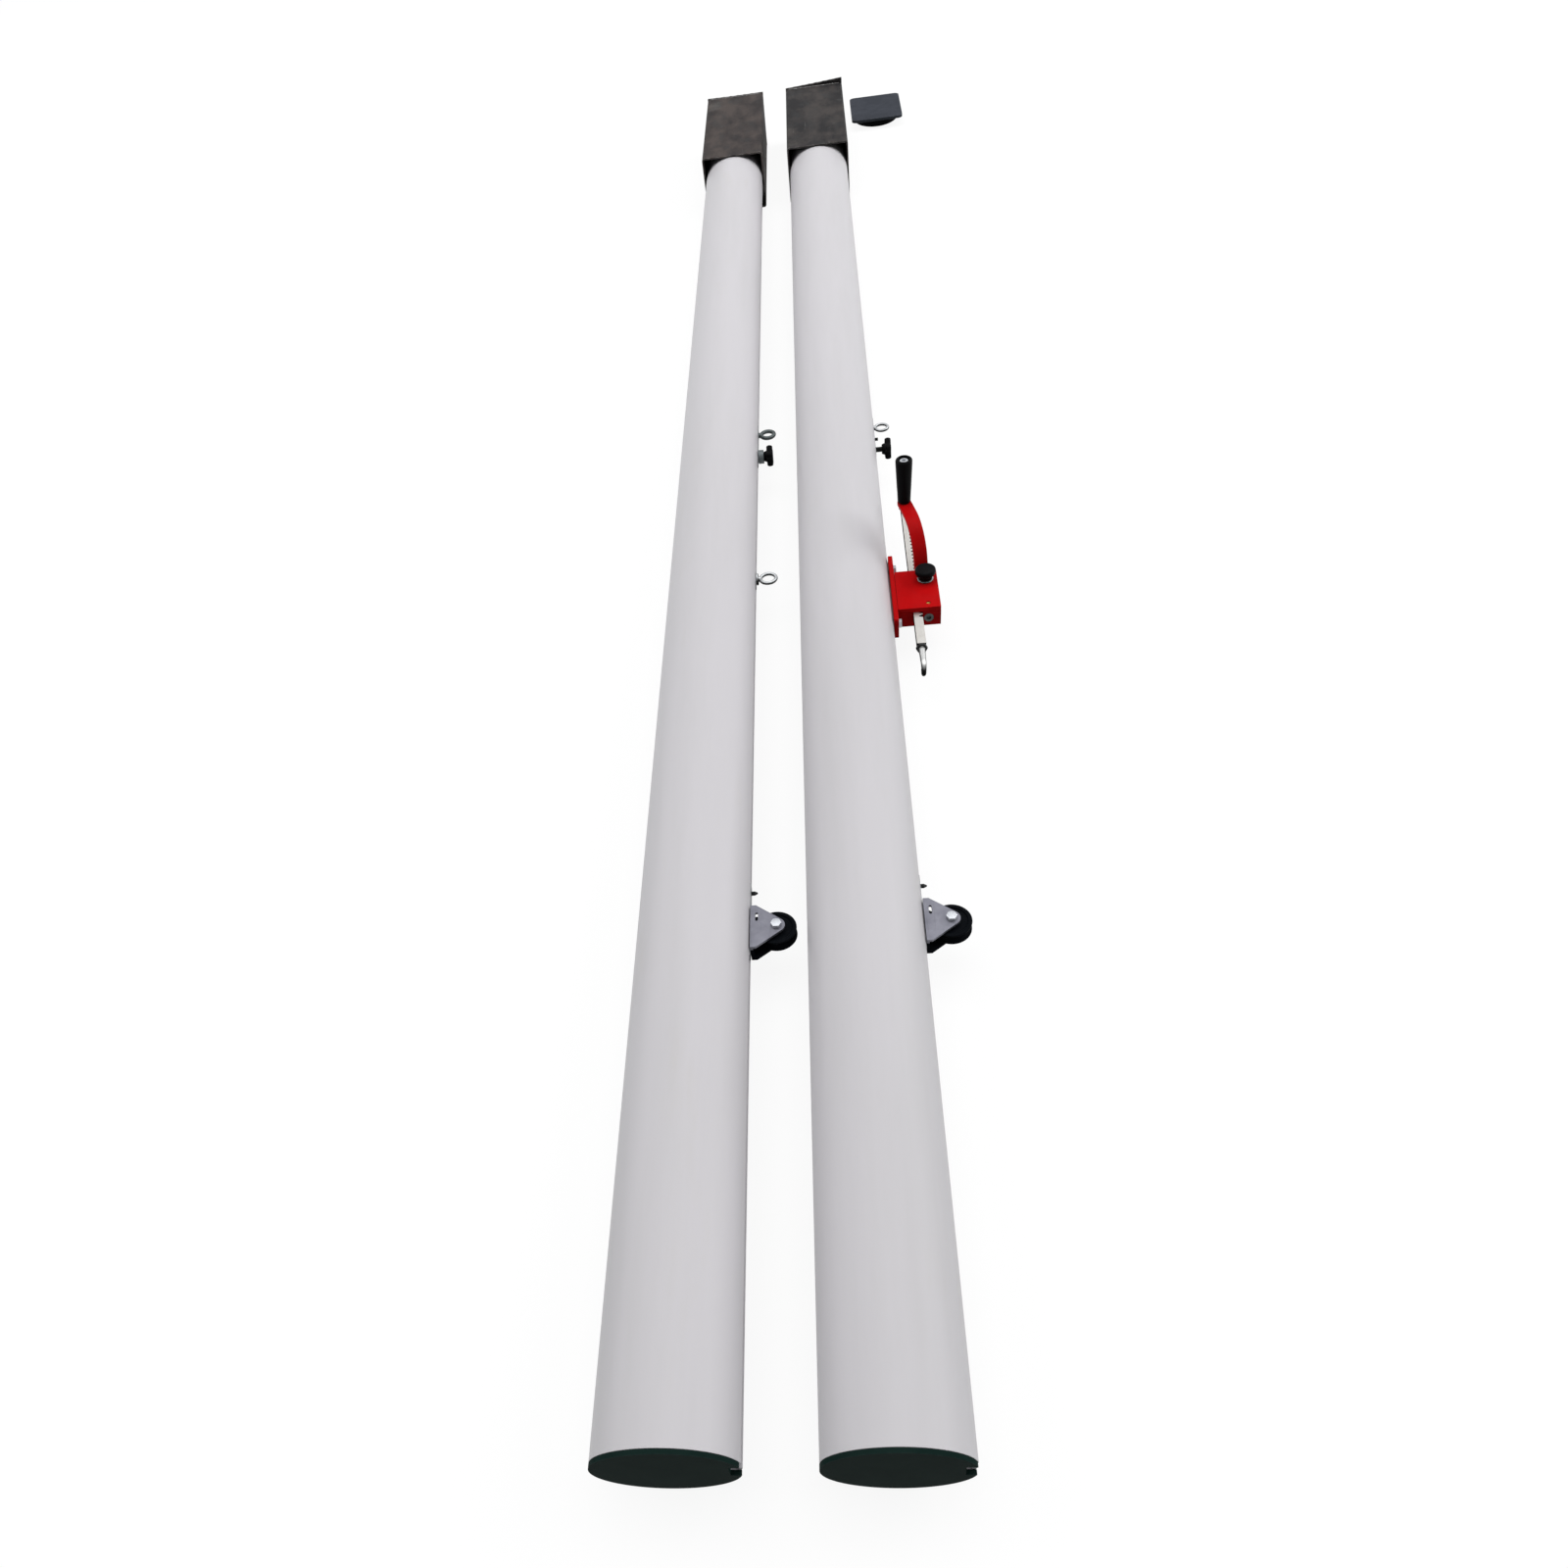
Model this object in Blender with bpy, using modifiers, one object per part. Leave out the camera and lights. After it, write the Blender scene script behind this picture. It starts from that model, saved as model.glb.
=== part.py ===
"""Pair of aluminium volleyball net posts laid out on the floor with their ground sleeves.

Each post is an oval extrusion with a T-groove along one side.  Pulleys, net slider, anchor eye and the
rack and pinion tensioner all ride in that groove.  Metres, +Z up, posts lying along +Y, tops at -Y.
"""
import math

import bmesh
import bpy
from mathutils import Matrix

MM = 0.001

# Clearances
SEAT_GAP = 0.3 * MM         # between pieces that rest on each other
SLIDE_GAP = 0.4 * MM        # round a bar that slides in the groove
BORE_GAP = 0.3 * MM         # on the radius, round a pin, screw or bush
SLEEVE_GAP = 0.5 * MM       # round the post's foot in its ground sleeve

# Post extrusion
OVAL_WIDTH = 120 * MM
OVAL_HEIGHT = 100 * MM
POST_WALL = 4 * MM
POST_VISIBLE = 2545 * MM
POST_SPACING = 179 * MM
OVAL_STEPS = 50

# T-groove in the side of the extrusion
GROOVE_MOUTH = 12 * MM
GROOVE_LIP = 4 * MM
GROOVE_WIDTH = 24 * MM
GROOVE_DEPTH = 10 * MM
GROOVE_WALL = 3 * MM

# Plastic plugs in the post's ends
CAP_THICKNESS = 4 * MM
CAP_BEVEL = 1.2 * MM
CAP_NOTCH_HEIGHT = 21 * MM
CAP_NOTCH_DEPTH = 10 * MM
PLUG_DEPTH = 15 * MM
FOOT_PLUG_THICKNESS = 5 * MM

# Ground sleeve
SLEEVE_WALL = 3 * MM
SLEEVE_LENGTH = 360 * MM
SLEEVE_BOTTOM_GAP = 9.7 * MM
SLEEVE_CORNER = 5 * MM
SLEEVE_PLATE = 5 * MM
SLEEVE_PLATE_RISE = {"left": (0.6 * MM, 0.6 * MM), "right": (1 * MM, 9 * MM)}

# Cover for the empty sleeve, taken off and laid beside it
COVER_WIDTH = 116 * MM
COVER_LENGTH = 153 * MM
COVER_THICKNESS = 5 * MM
COVER_CORNER = 11 * MM
COVER_PLUG_HEIGHT = 17 * MM
COVER_CENTRE = (142.5 * MM, 2995 * MM)

# Where the fittings stand along each post, measured from its top end
STATIONS = {
    "left": {"pulley": 519 * MM, "slider": 1446 * MM, "anchor": 1133 * MM},
    "right": {"pulley": 516 * MM, "slider": 1434 * MM, "tensioner": 1082 * MM},
}

# Metric fasteners: shank diameter, width across flats, head height
M6 = (6 * MM, 10 * MM, 4 * MM)
M8 = (8 * MM, 13 * MM, 6 * MM)

# Pulley
WHEEL_RADIUS = 21 * MM
WHEEL_THICKNESS = 14 * MM
WHEEL_GROOVE_RADIUS = 15.5 * MM
WHEEL_BUSH_RADIUS = 4.5 * MM
AXLE_OUT = 27.5 * MM
BRACKET_PLATE = 3 * MM
BRACKET_INSIDE = 16.6 * MM
BRACKET_LENGTH = 55 * MM
BRACKET_SHOULDER = 6 * MM
BRACKET_TIP_RADIUS = 9 * MM
BRACKET_SLOT = (11 * MM, 3 * MM)
BRACKET_SLOT_AT = (7 * MM, 12 * MM)
PULLEY_BAR = (-32 * MM, 64 * MM)
LOCK_SCREW_AT = 53 * MM
LOCK_SCREW_RADIUS = 2.5 * MM
LOCK_SCREW_TIP_RADIUS = 1 * MM
LOCK_SCREW_OUT = 7 * MM

# Net slider with its star knob and eye
SLIDER_BAR = (-20 * MM, 83 * MM)
EYE_AT = 63 * MM
# Each eye's centre out from the post, the radius of its centre line and of its wire
EYES = {
    "left": (14.3 * MM, 10 * MM, 3 * MM),
    "right": (12.1 * MM, 9.5 * MM, 2.2 * MM),
    "anchor": (16.4 * MM, 10.6 * MM, 2.4 * MM),
}
KNOB_OUT = 9 * MM
KNOB_RADIUS = 16 * MM
KNOB_THICKNESS = 9 * MM
KNOB_HUB_RADIUS = 6.5 * MM
KNOB_HUB_HEIGHT = 4.5 * MM
KNOB_LOBES = 5
KNOB_LOBE_DEPTH = 4 * MM
SPACER_RADIUS = 10 * MM
ANCHOR_NUT_LENGTH = 30 * MM
ANCHOR_FLANGE_RADIUS = 8 * MM
ANCHOR_FLANGE = 2.5 * MM

# Tensioner frame, seen with the pinion's axis at its own zero
MOUNT_PLATE = 6 * MM
MOUNT_PLATE_HEIGHT = 30 * MM
MOUNT_PLATE_SPAN = (-82 * MM, 58 * MM)
MOUNT_BOLTS_AT = (-70 * MM, 46 * MM)
SLOT_NUT_LENGTH = 22 * MM
HOUSING_OUT = 61.5 * MM
HOUSING_SPAN = (-60 * MM, 21 * MM)
HOUSING_HEIGHT = 28 * MM
HOUSING_FLOOR = 8 * MM
TOP_PLATE = 6.6 * MM
EDGE_BREAK = 0.8 * MM

# Rack and pinion
MODULE = 2.5 * MM
PINION_TEETH = 8
PRESSURE_ANGLE = math.radians(20)
PINION_ADDENDUM = 2.4 * MM
RACK_ADDENDUM = 1.7 * MM
RACK_DEDENDUM = 3 * MM
TOOTH_PLAY = 0.4 * MM
ROOT_CLEARANCE = 0.6 * MM
RACK_BACK_OUT = 26.2 * MM
PITCH_LINE_OUT = 36 * MM
RACK_FRONT = -121.5 * MM
RACK_TAIL = 216 * MM
RACK_TOOTH_NUMBERS = (-9, 24)
JOURNAL_RADIUS = 7 * MM
BUSH_RADIUS = 9 * MM
SQUARE_DRIVE = 9.6 * MM

# Hook on the front of the rack
HOOK_NUT_AT = SEAT_GAP
HOOK_STRAIGHT = 24.5 * MM
HOOK_BEND = 8.5 * MM
HOOK_TIP = 8 * MM
HOOK_RADII = (4.3 * MM, 2.4 * MM)
HOOK_NUT_THICKNESS = 4 * MM
STOP_RADIUS = 8 * MM
STOP_THICKNESS = 4 * MM

# Spring plunger that drops between the pinion's teeth
PLUNGER_RADIUS = 5 * MM
PLUNGER_TIP_RADIUS = 1.3 * MM
PLUNGER_CONE = 5 * MM
PLUNGER_LENGTH = 24 * MM
PLUNGER_STANDOFF = 0.5 * MM
PLUNGER_DROP = 2.5 * MM
END_PLUG_RADIUS = 6.2 * MM
END_PLUG_LENGTH = 6 * MM
SPRING_WIRE = 0.6 * MM
SPRING_RADIUS = 3.8 * MM
SPRING_TURNS = 6
OIL_SCREW_AT = -50 * MM
OIL_SCREW_RADIUS = 2.5 * MM
OIL_SCREW_DEEP = 1.5 * MM

# Crank
THRUST_WASHER = 1.2 * MM
THRUST_WASHER_RADIUS = 10.5 * MM
ARM_TURN = math.radians(12.33)
ARM_WIDTH = 18 * MM
ARM_THICKNESS = 4 * MM
ARM_FLAT = 14.5 * MM
ARM_FOOT_BEND = 6 * MM
ARM_SHANK = 4.9 * MM
ARM_BOW = 49.6 * MM
ARM_STEEPEST = math.radians(80)
CRANK_RADIUS = 97.3 * MM
HUB_KNOB_RADII = (10.7 * MM, 13.4 * MM)
HUB_KNOB_HEIGHT = 10.5 * MM
GRIP_RADII = (8.5 * MM, 11 * MM)
GRIP_LENGTH = 62 * MM
GRIP_RECESS = (7 * MM, 6 * MM)

# Edges that bend more than this stay crisp
EDGE_ANGLE = math.radians(32)

# Values that follow from the sizes above
POST_IN_SLEEVE = SLEEVE_LENGTH - SLEEVE_BOTTOM_GAP - FOOT_PLUG_THICKNESS - SEAT_GAP
POST_LENGTH = POST_VISIBLE + POST_IN_SLEEVE
GROOVE_FLOOR = -(GROOVE_LIP + GROOVE_DEPTH)
SLEEVE_WIDTH = OVAL_WIDTH + 2 * (SLEEVE_GAP + SLEEVE_WALL)
SLEEVE_HEIGHT = OVAL_HEIGHT + 2 * (SLEEVE_GAP + SLEEVE_WALL)
AXIS_HEIGHT = SLEEVE_HEIGHT / 2
PITCH = math.pi * MODULE
PITCH_RADIUS = MODULE * PINION_TEETH / 2
PINION_OUT = PITCH_LINE_OUT + PITCH_RADIUS
PINION_TIP = PITCH_RADIUS + PINION_ADDENDUM
PINION_ROOT = PITCH_RADIUS - RACK_ADDENDUM - ROOT_CLEARANCE
HOUSING_IN = SEAT_GAP + MOUNT_PLATE + SEAT_GAP
HOUSING_TOP = HOUSING_HEIGHT / 2
BODY_TOP = HOUSING_TOP - TOP_PLATE - SEAT_GAP
FLOOR_TOP = -HOUSING_TOP + HOUSING_FLOOR
RACK_LOW = FLOOR_TOP + SEAT_GAP
RACK_HIGH = BODY_TOP - SEAT_GAP
ARM_LOW = HOUSING_TOP + SEAT_GAP + THRUST_WASHER + SEAT_GAP
ARM_CENTRE = ARM_LOW + ARM_THICKNESS / 2
ORIGIN_X = ((-POST_SPACING - SLEEVE_WIDTH / 2) + (COVER_CENTRE[0] + COVER_WIDTH / 2)) / 2
ORIGIN_Y = ((COVER_CENTRE[1] + COVER_LENGTH / 2) - (CAP_THICKNESS + SEAT_GAP)) / 2

# How each axis of a flat outline is laid: columns are the images of outline x, outline y and depth
LAY = {
    "X": Matrix(((0, 0, 1, 0), (1, 0, 0, 0), (0, 1, 0, 0), (0, 0, 0, 1))),
    "Y": Matrix(((1, 0, 0, 0), (0, 0, -1, 0), (0, 1, 0, 0), (0, 0, 0, 1))),
    "Z": Matrix.Identity(4),
}


# Scene, materials and parents

def clear_scene():
    for item in list(bpy.data.objects):
        bpy.data.objects.remove(item, do_unlink=True)


def make_collection(name):
    collection = bpy.data.collections.new(name)
    bpy.context.scene.collection.children.link(collection)
    return collection


def make_material(name, colour, roughness, metallic=0.0):
    material = bpy.data.materials.new(name)
    material.use_nodes = True
    shader = material.node_tree.nodes["Principled BSDF"]
    shader.inputs["Base Color"].default_value = (*colour, 1.0)
    shader.inputs["Roughness"].default_value = roughness
    shader.inputs["Metallic"].default_value = metallic
    return material


clear_scene()
PARTS = make_collection("volleyball_post_pair")
CUTTERS = make_collection("cutters")
COATED = make_material("white_powder_coat", (0.66, 0.65, 0.68), 0.45)
RED = make_material("red_enamel", (0.52, 0.01, 0.015), 0.35)
GREEN_PLASTIC = make_material("dark_green_plastic", (0.012, 0.024, 0.02), 0.5)
BLACK_PLASTIC = make_material("black_plastic", (0.012, 0.012, 0.013), 0.45)
SLATE_PLASTIC = make_material("slate_plastic", (0.06, 0.065, 0.08), 0.5)
RAW_STEEL = make_material("raw_mill_steel", (0.08, 0.07, 0.068), 0.55, 0.6)
ZINC = make_material("zinc_plated_steel", (0.55, 0.56, 0.58), 0.35, 0.9)
BRIGHT_STEEL = make_material("machined_steel", (0.6, 0.6, 0.58), 0.3, 0.9)
DARK_STEEL = make_material("blackened_steel", (0.05, 0.052, 0.05), 0.4, 0.8)
BRONZE = make_material("sintered_bronze", (0.45, 0.28, 0.1), 0.4, 0.9)


def empty(name, parent, location, turn=0.0):
    frame = bpy.data.objects.new(name, None)
    PARTS.objects.link(frame)
    frame.parent = parent
    frame.location = location
    frame.rotation_euler = (0, 0, turn)
    return frame


def add_part(name, mesh, material, parent, location=(0, 0, 0)):
    part = bpy.data.objects.new(name, mesh)
    PARTS.objects.link(part)
    part.parent = parent
    part.location = location
    mesh.materials.clear()
    mesh.materials.append(material)
    return part


def add_tool(name, mesh, parent, location=(0, 0, 0)):
    tool = bpy.data.objects.new(name, mesh)
    CUTTERS.objects.link(tool)
    tool.parent = parent
    tool.location = location
    tool.hide_render = True
    tool.display_type = "WIRE"
    return tool


def combine(part, tool, operation):
    modifier = part.modifiers.new(operation.lower(), "BOOLEAN")
    modifier.operation = operation
    modifier.solver = "EXACT"
    modifier.object = tool


def cut(part, mesh, location=(0, 0, 0)):
    combine(part, add_tool(part.name + "_cut", mesh, part.parent, location), "DIFFERENCE")


def join(part, mesh, location=(0, 0, 0)):
    combine(part, add_tool(part.name + "_join", mesh, part.parent, location), "UNION")


def keep_inside(part, mesh, location=(0, 0, 0)):
    combine(part, add_tool(part.name + "_keep", mesh, part.parent, location), "INTERSECT")


def break_edges(part, width, segments=1, angle=40):
    modifier = part.modifiers.new("edge_break", "BEVEL")
    modifier.width = width
    modifier.segments = segments
    modifier.limit_method = "ANGLE"
    modifier.angle_limit = math.radians(angle)
    modifier.use_clamp_overlap = True


def shading_group():
    """Geometry nodes that shade faces smooth and keep every edge sharper than EDGE_ANGLE crisp."""
    group = bpy.data.node_groups.new("smooth_by_angle", "GeometryNodeTree")
    group.is_modifier = True
    group.interface.new_socket("Geometry", in_out="INPUT", socket_type="NodeSocketGeometry")
    group.interface.new_socket("Geometry", in_out="OUTPUT", socket_type="NodeSocketGeometry")
    start = group.nodes.new("NodeGroupInput")
    faces = group.nodes.new("GeometryNodeSetShadeSmooth")
    edges = group.nodes.new("GeometryNodeSetShadeSmooth")
    edges.domain = "EDGE"
    angle = group.nodes.new("GeometryNodeInputMeshEdgeAngle")
    gentle = group.nodes.new("FunctionNodeCompare")
    gentle.operation = "LESS_EQUAL"
    gentle.inputs["B"].default_value = EDGE_ANGLE
    end = group.nodes.new("NodeGroupOutput")
    group.links.new(angle.outputs["Unsigned Angle"], gentle.inputs["A"])
    group.links.new(gentle.outputs["Result"], edges.inputs["Shade Smooth"])
    group.links.new(start.outputs["Geometry"], faces.inputs["Geometry"])
    group.links.new(faces.outputs["Geometry"], edges.inputs["Geometry"])
    group.links.new(edges.outputs["Geometry"], end.inputs["Geometry"])
    return group


def shade(parts):
    group = shading_group()
    for part in parts:
        if part.type == "MESH":
            part.modifiers.new("shading", "NODES").node_group = group


# Meshes

def mesh_of(holder):
    """Evaluated mesh of a temporary object, with its loose caps welded and its faces pointing out."""
    bpy.context.view_layer.update()
    graph = bpy.context.evaluated_depsgraph_get()
    mesh = bpy.data.meshes.new_from_object(holder.evaluated_get(graph))
    bpy.data.objects.remove(holder, do_unlink=True)
    work = bmesh.new()
    work.from_mesh(mesh)
    bmesh.ops.remove_doubles(work, verts=work.verts, dist=0.000002)
    bmesh.ops.recalc_face_normals(work, faces=work.faces)
    work.to_mesh(mesh)
    work.free()
    return mesh


def prism(outlines, axis, low, high):
    """One flat outline, with any holes after it, drawn out along an axis from low to high."""
    curve = bpy.data.curves.new("outline", "CURVE")
    curve.dimensions = "2D"
    curve.fill_mode = "BOTH"
    curve.extrude = (high - low) / 2
    for outline in outlines:
        spline = curve.splines.new("POLY")
        spline.points.add(len(outline) - 1)
        for point, (across, up) in zip(spline.points, outline):
            point.co = (across, up, 0, 1)
        spline.use_cyclic_u = True
    holder = bpy.data.objects.new("outline", curve)
    PARTS.objects.link(holder)
    mesh = mesh_of(holder)
    middle = (high + low) / 2
    depth = -middle if axis == "Y" else middle
    mesh.transform(LAY[axis] @ Matrix.Translation((0, 0, depth)))
    return mesh


def block(low, high):
    """Box between two corners."""
    size = [top - bottom for bottom, top in zip(low, high)]
    centre = [(top + bottom) / 2 for bottom, top in zip(low, high)]
    work = bmesh.new()
    bmesh.ops.create_cube(work, size=1.0)
    bmesh.ops.scale(work, vec=size, verts=work.verts)
    bmesh.ops.translate(work, vec=centre, verts=work.verts)
    mesh = bpy.data.meshes.new("block")
    work.to_mesh(mesh)
    work.free()
    return mesh


def rod(radius, axis, low, high, steps=16, turn=0.0, far_radius=None):
    """Cylinder, cone or, with few steps, a polygonal bar along an axis."""
    work = bmesh.new()
    far = radius if far_radius is None else far_radius
    bmesh.ops.create_cone(work, cap_ends=True, segments=steps, radius1=radius, radius2=far, depth=high - low)
    mesh = bpy.data.meshes.new("rod")
    work.to_mesh(mesh)
    work.free()
    lay = {
        "X": Matrix.Rotation(math.pi / 2, 4, "Y"),
        "Y": Matrix.Rotation(-math.pi / 2, 4, "X"),
        "Z": Matrix.Identity(4),
    }[axis]
    middle = (high + low) / 2
    mesh.transform(lay @ Matrix.Translation((0, 0, middle)) @ Matrix.Rotation(turn, 4, "Z"))
    return mesh


def hexagon(across_flats, axis, low, high):
    return rod(across_flats / 2 / math.cos(math.pi / 6), axis, low, high, steps=6)


def turned(profile, axis="Z", steps=28):
    """Closed profile of (radius, height) points turned round an axis."""
    mesh = bpy.data.meshes.new("profile")
    edges = [(i, (i + 1) % len(profile)) for i in range(len(profile))]
    if profile[0][0] == 0 and profile[-1][0] == 0:
        edges.pop()
    mesh.from_pydata([(radius, 0, height) for radius, height in profile], edges, [])
    holder = bpy.data.objects.new("profile", mesh)
    PARTS.objects.link(holder)
    screw = holder.modifiers.new("turn", "SCREW")
    screw.steps = steps
    screw.render_steps = steps
    screw.use_merge_vertices = True
    screw.merge_threshold = 0.00001
    result = mesh_of(holder)
    lay = {
        "X": Matrix.Rotation(math.pi / 2, 4, "Y"),
        "Y": Matrix.Rotation(-math.pi / 2, 4, "X"),
        "Z": Matrix.Identity(4),
    }[axis]
    result.transform(lay)
    return result


def tube(radius, bore, axis, low, high, steps=24):
    return turned([(radius, high), (radius, low), (bore, low), (bore, high)], axis, steps)


# Outlines

def arc(centre, radii, start, end, steps):
    """Points on an ellipse from one angle to another, both ends included."""
    return [
        (centre[0] + radii[0] * math.cos(start + (end - start) * i / steps),
         centre[1] + radii[1] * math.sin(start + (end - start) * i / steps))
        for i in range(steps + 1)
    ]


def rounded_rectangle(width, height, corner, steps=4, centre=(0, 0)):
    points = []
    for quarter, (side, rise) in enumerate(((1, 1), (-1, 1), (-1, -1), (1, -1))):
        middle = (centre[0] + side * (width / 2 - corner), centre[1] + rise * (height / 2 - corner))
        start = quarter * math.pi / 2
        points += arc(middle, (corner, corner), start, start + math.pi / 2, steps)
    return points


def oval_outline(inset, opening, floor):
    """Oval less an inset, with a straight-sided bay cut into its groove side down to a depth."""
    half_width = OVAL_WIDTH / 2 - inset
    half_height = OVAL_HEIGHT / 2 - inset
    start = math.asin(opening / 2 / half_height)
    points = arc((0, 0), (half_width, half_height), start, 2 * math.pi - start, OVAL_STEPS)
    return points + [(OVAL_WIDTH / 2 + floor, -opening / 2), (OVAL_WIDTH / 2 + floor, opening / 2)]


def post_outlines():
    """Section of the extrusion: oval with its T-groove, and the hollow round the groove's channel."""
    outer = oval_outline(0, GROOVE_MOUTH, -GROOVE_LIP)
    side = OVAL_WIDTH / 2
    outer[-1:-1] = [
        (side - GROOVE_LIP, -GROOVE_WIDTH / 2),
        (side + GROOVE_FLOOR, -GROOVE_WIDTH / 2),
        (side + GROOVE_FLOOR, GROOVE_WIDTH / 2),
        (side - GROOVE_LIP, GROOVE_WIDTH / 2),
    ]
    hollow = oval_outline(POST_WALL, GROOVE_WIDTH + 2 * GROOVE_WALL, GROOVE_FLOOR - GROOVE_WALL)
    return [outer, hollow]


def groove_bar_outline():
    """Section of a bar that fills the T-groove: flange behind the lips and neck between them."""
    flange = GROOVE_WIDTH / 2 - SLIDE_GAP
    neck = GROOVE_MOUTH / 2 - SLIDE_GAP
    back = GROOVE_FLOOR + SLIDE_GAP
    step = -GROOVE_LIP - SLIDE_GAP
    return [(back, -flange), (step, -flange), (step, -neck), (0, -neck),
            (0, neck), (step, neck), (step, flange), (back, flange)]


def bracket_outline():
    """Pulley cheek: straight along the post, narrowing to a round tip about the axle."""
    low = SEAT_GAP
    shoulder = (low + BRACKET_SHOULDER, -BRACKET_LENGTH / 2)
    reach = math.hypot(AXLE_OUT - shoulder[0], shoulder[1])
    toward = math.atan2(shoulder[1], shoulder[0] - AXLE_OUT)
    touch = toward + math.acos(BRACKET_TIP_RADIUS / reach)
    tip = arc((AXLE_OUT, 0), (BRACKET_TIP_RADIUS, BRACKET_TIP_RADIUS), touch, -touch, 12)
    return [(low, shoulder[1]), shoulder] + tip + [(shoulder[0], -shoulder[1]), (low, -shoulder[1])]


def star_outline():
    points = []
    for i in range(8 * KNOB_LOBES):
        turn = 2 * math.pi * i / (8 * KNOB_LOBES)
        radius = KNOB_RADIUS - KNOB_LOBE_DEPTH * (1 - math.cos(KNOB_LOBES * turn)) / 2
        points.append((radius * math.cos(turn), radius * math.sin(turn)))
    return points


def involute_angle(radius, base):
    """Angle that an involute has swept when it reaches a radius."""
    if radius <= base:
        return 0.0
    slope = math.sqrt((radius / base) ** 2 - 1)
    return slope - math.atan(slope)


def pinion_outline():
    """Involute pinion whose tooth space faces the rack at rest."""
    base = PITCH_RADIUS * math.cos(PRESSURE_ANGLE)
    half_tooth = (PITCH / 2 - TOOTH_PLAY) / PITCH_RADIUS / 2
    half_base = half_tooth + involute_angle(PITCH_RADIUS, base)
    flank = [PINION_ROOT] + [base + (PINION_TIP - base) * i / 4 for i in range(5)]
    points = []
    for tooth in range(PINION_TEETH):
        middle = 2 * math.pi * (tooth + 0.5) / PINION_TEETH
        rising = [(radius, middle - half_base + involute_angle(radius, base)) for radius in flank]
        falling = [(radius, middle + half_base - involute_angle(radius, base)) for radius in flank[::-1]]
        for radius, angle in rising + falling:
            points.append((radius * math.cos(angle), radius * math.sin(angle)))
    return points


def rack_outline():
    """Rack seen from above: plain back, straight-flanked teeth on the side away from the post."""
    tip = PITCH_LINE_OUT + RACK_ADDENDUM
    root = PITCH_LINE_OUT - RACK_DEDENDUM
    half_tip = (PITCH / 2 - TOOTH_PLAY) / 2 - RACK_ADDENDUM * math.tan(PRESSURE_ANGLE)
    half_root = (PITCH / 2 - TOOTH_PLAY) / 2 + RACK_DEDENDUM * math.tan(PRESSURE_ANGLE)
    first, last = RACK_TOOTH_NUMBERS
    points = [(RACK_BACK_OUT, RACK_FRONT), (tip, RACK_FRONT)]
    for tooth in range(first, last + 1):
        middle = tooth * PITCH
        if tooth > first:
            points += [(root, middle - half_root), (tip, middle - half_tip)]
        if tooth < last:
            points += [(tip, middle + half_tip), (root, middle + half_root)]
    return points + [(tip, RACK_TAIL), (RACK_BACK_OUT, RACK_TAIL)]


def arm_outline():
    """Crank arm from the side: flat on the hub, bowed up over the post, flat again under the grip."""
    line = [(-ARM_WIDTH / 2, ARM_CENTRE, 0.0)]
    for i in range(5):
        slope = ARM_STEEPEST * i / 4
        line.append((ARM_FLAT + ARM_FOOT_BEND * math.sin(slope),
                     ARM_CENTRE + ARM_FOOT_BEND * (1 - math.cos(slope)), slope))
    foot = line[-1]
    start = (foot[0] + ARM_SHANK * math.cos(ARM_STEEPEST), foot[1] + ARM_SHANK * math.sin(ARM_STEEPEST))
    line.append(start + (ARM_STEEPEST,))
    for i in range(1, 11):
        slope = ARM_STEEPEST * (1 - i / 10)
        line.append((start[0] + ARM_BOW * (math.sin(ARM_STEEPEST) - math.sin(slope)),
                     start[1] + ARM_BOW * (math.cos(slope) - math.cos(ARM_STEEPEST)), slope))
    line.append((CRANK_RADIUS + ARM_WIDTH / 2, line[-1][1], 0.0))
    half = ARM_THICKNESS / 2
    upper = [(along - half * math.sin(slope), up + half * math.cos(slope)) for along, up, slope in line]
    lower = [(along + half * math.sin(slope), up - half * math.cos(slope)) for along, up, slope in line]
    return lower + upper[::-1]


ARM_END_TOP = arm_outline()[len(arm_outline()) // 2][1]


# Fasteners

def hex_bolt(size, axis, seat, length, toward=1):
    """Hexagon bolt with its head on the outer side of a seat and its shank behind it."""
    diameter, flats, head = size
    top = seat + toward * head
    end = seat - toward * length
    head_mesh = hexagon(flats, axis, min(seat, top), max(seat, top))
    shank = rod(diameter / 2, axis, min(end, seat + toward * head / 2), max(end, seat + toward * head / 2))
    return head_mesh, shank


def hex_nut(size, axis, low):
    diameter, flats, head = size
    rim = [(flats / 2 / math.cos(math.pi / 6) * math.cos(i * math.pi / 3),
            flats / 2 / math.cos(math.pi / 6) * math.sin(i * math.pi / 3)) for i in range(6)]
    bore_radius = diameter / 2 + BORE_GAP
    bore = arc((0, 0), (bore_radius, bore_radius), 0, 2 * math.pi * 15 / 16, 15)
    return prism([rim, bore], axis, low, low + head)


# Posts

def add_post(side, frame):
    section = post_outlines()
    part = add_part(side + "_post_extrusion", prism(section, "Y", 0, POST_LENGTH), COATED, frame)
    return part


def add_top_cap(side, frame):
    start = -SEAT_GAP - CAP_THICKNESS
    rim = oval_outline(0, CAP_NOTCH_HEIGHT, -CAP_NOTCH_DEPTH)
    cap = add_part(side + "_top_cap", prism([rim], "Y", start, -SEAT_GAP), GREEN_PLASTIC, frame)
    break_edges(cap, CAP_BEVEL)
    join(cap, end_plug_mesh(-SEAT_GAP - CAP_THICKNESS / 2, PLUG_DEPTH))


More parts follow.
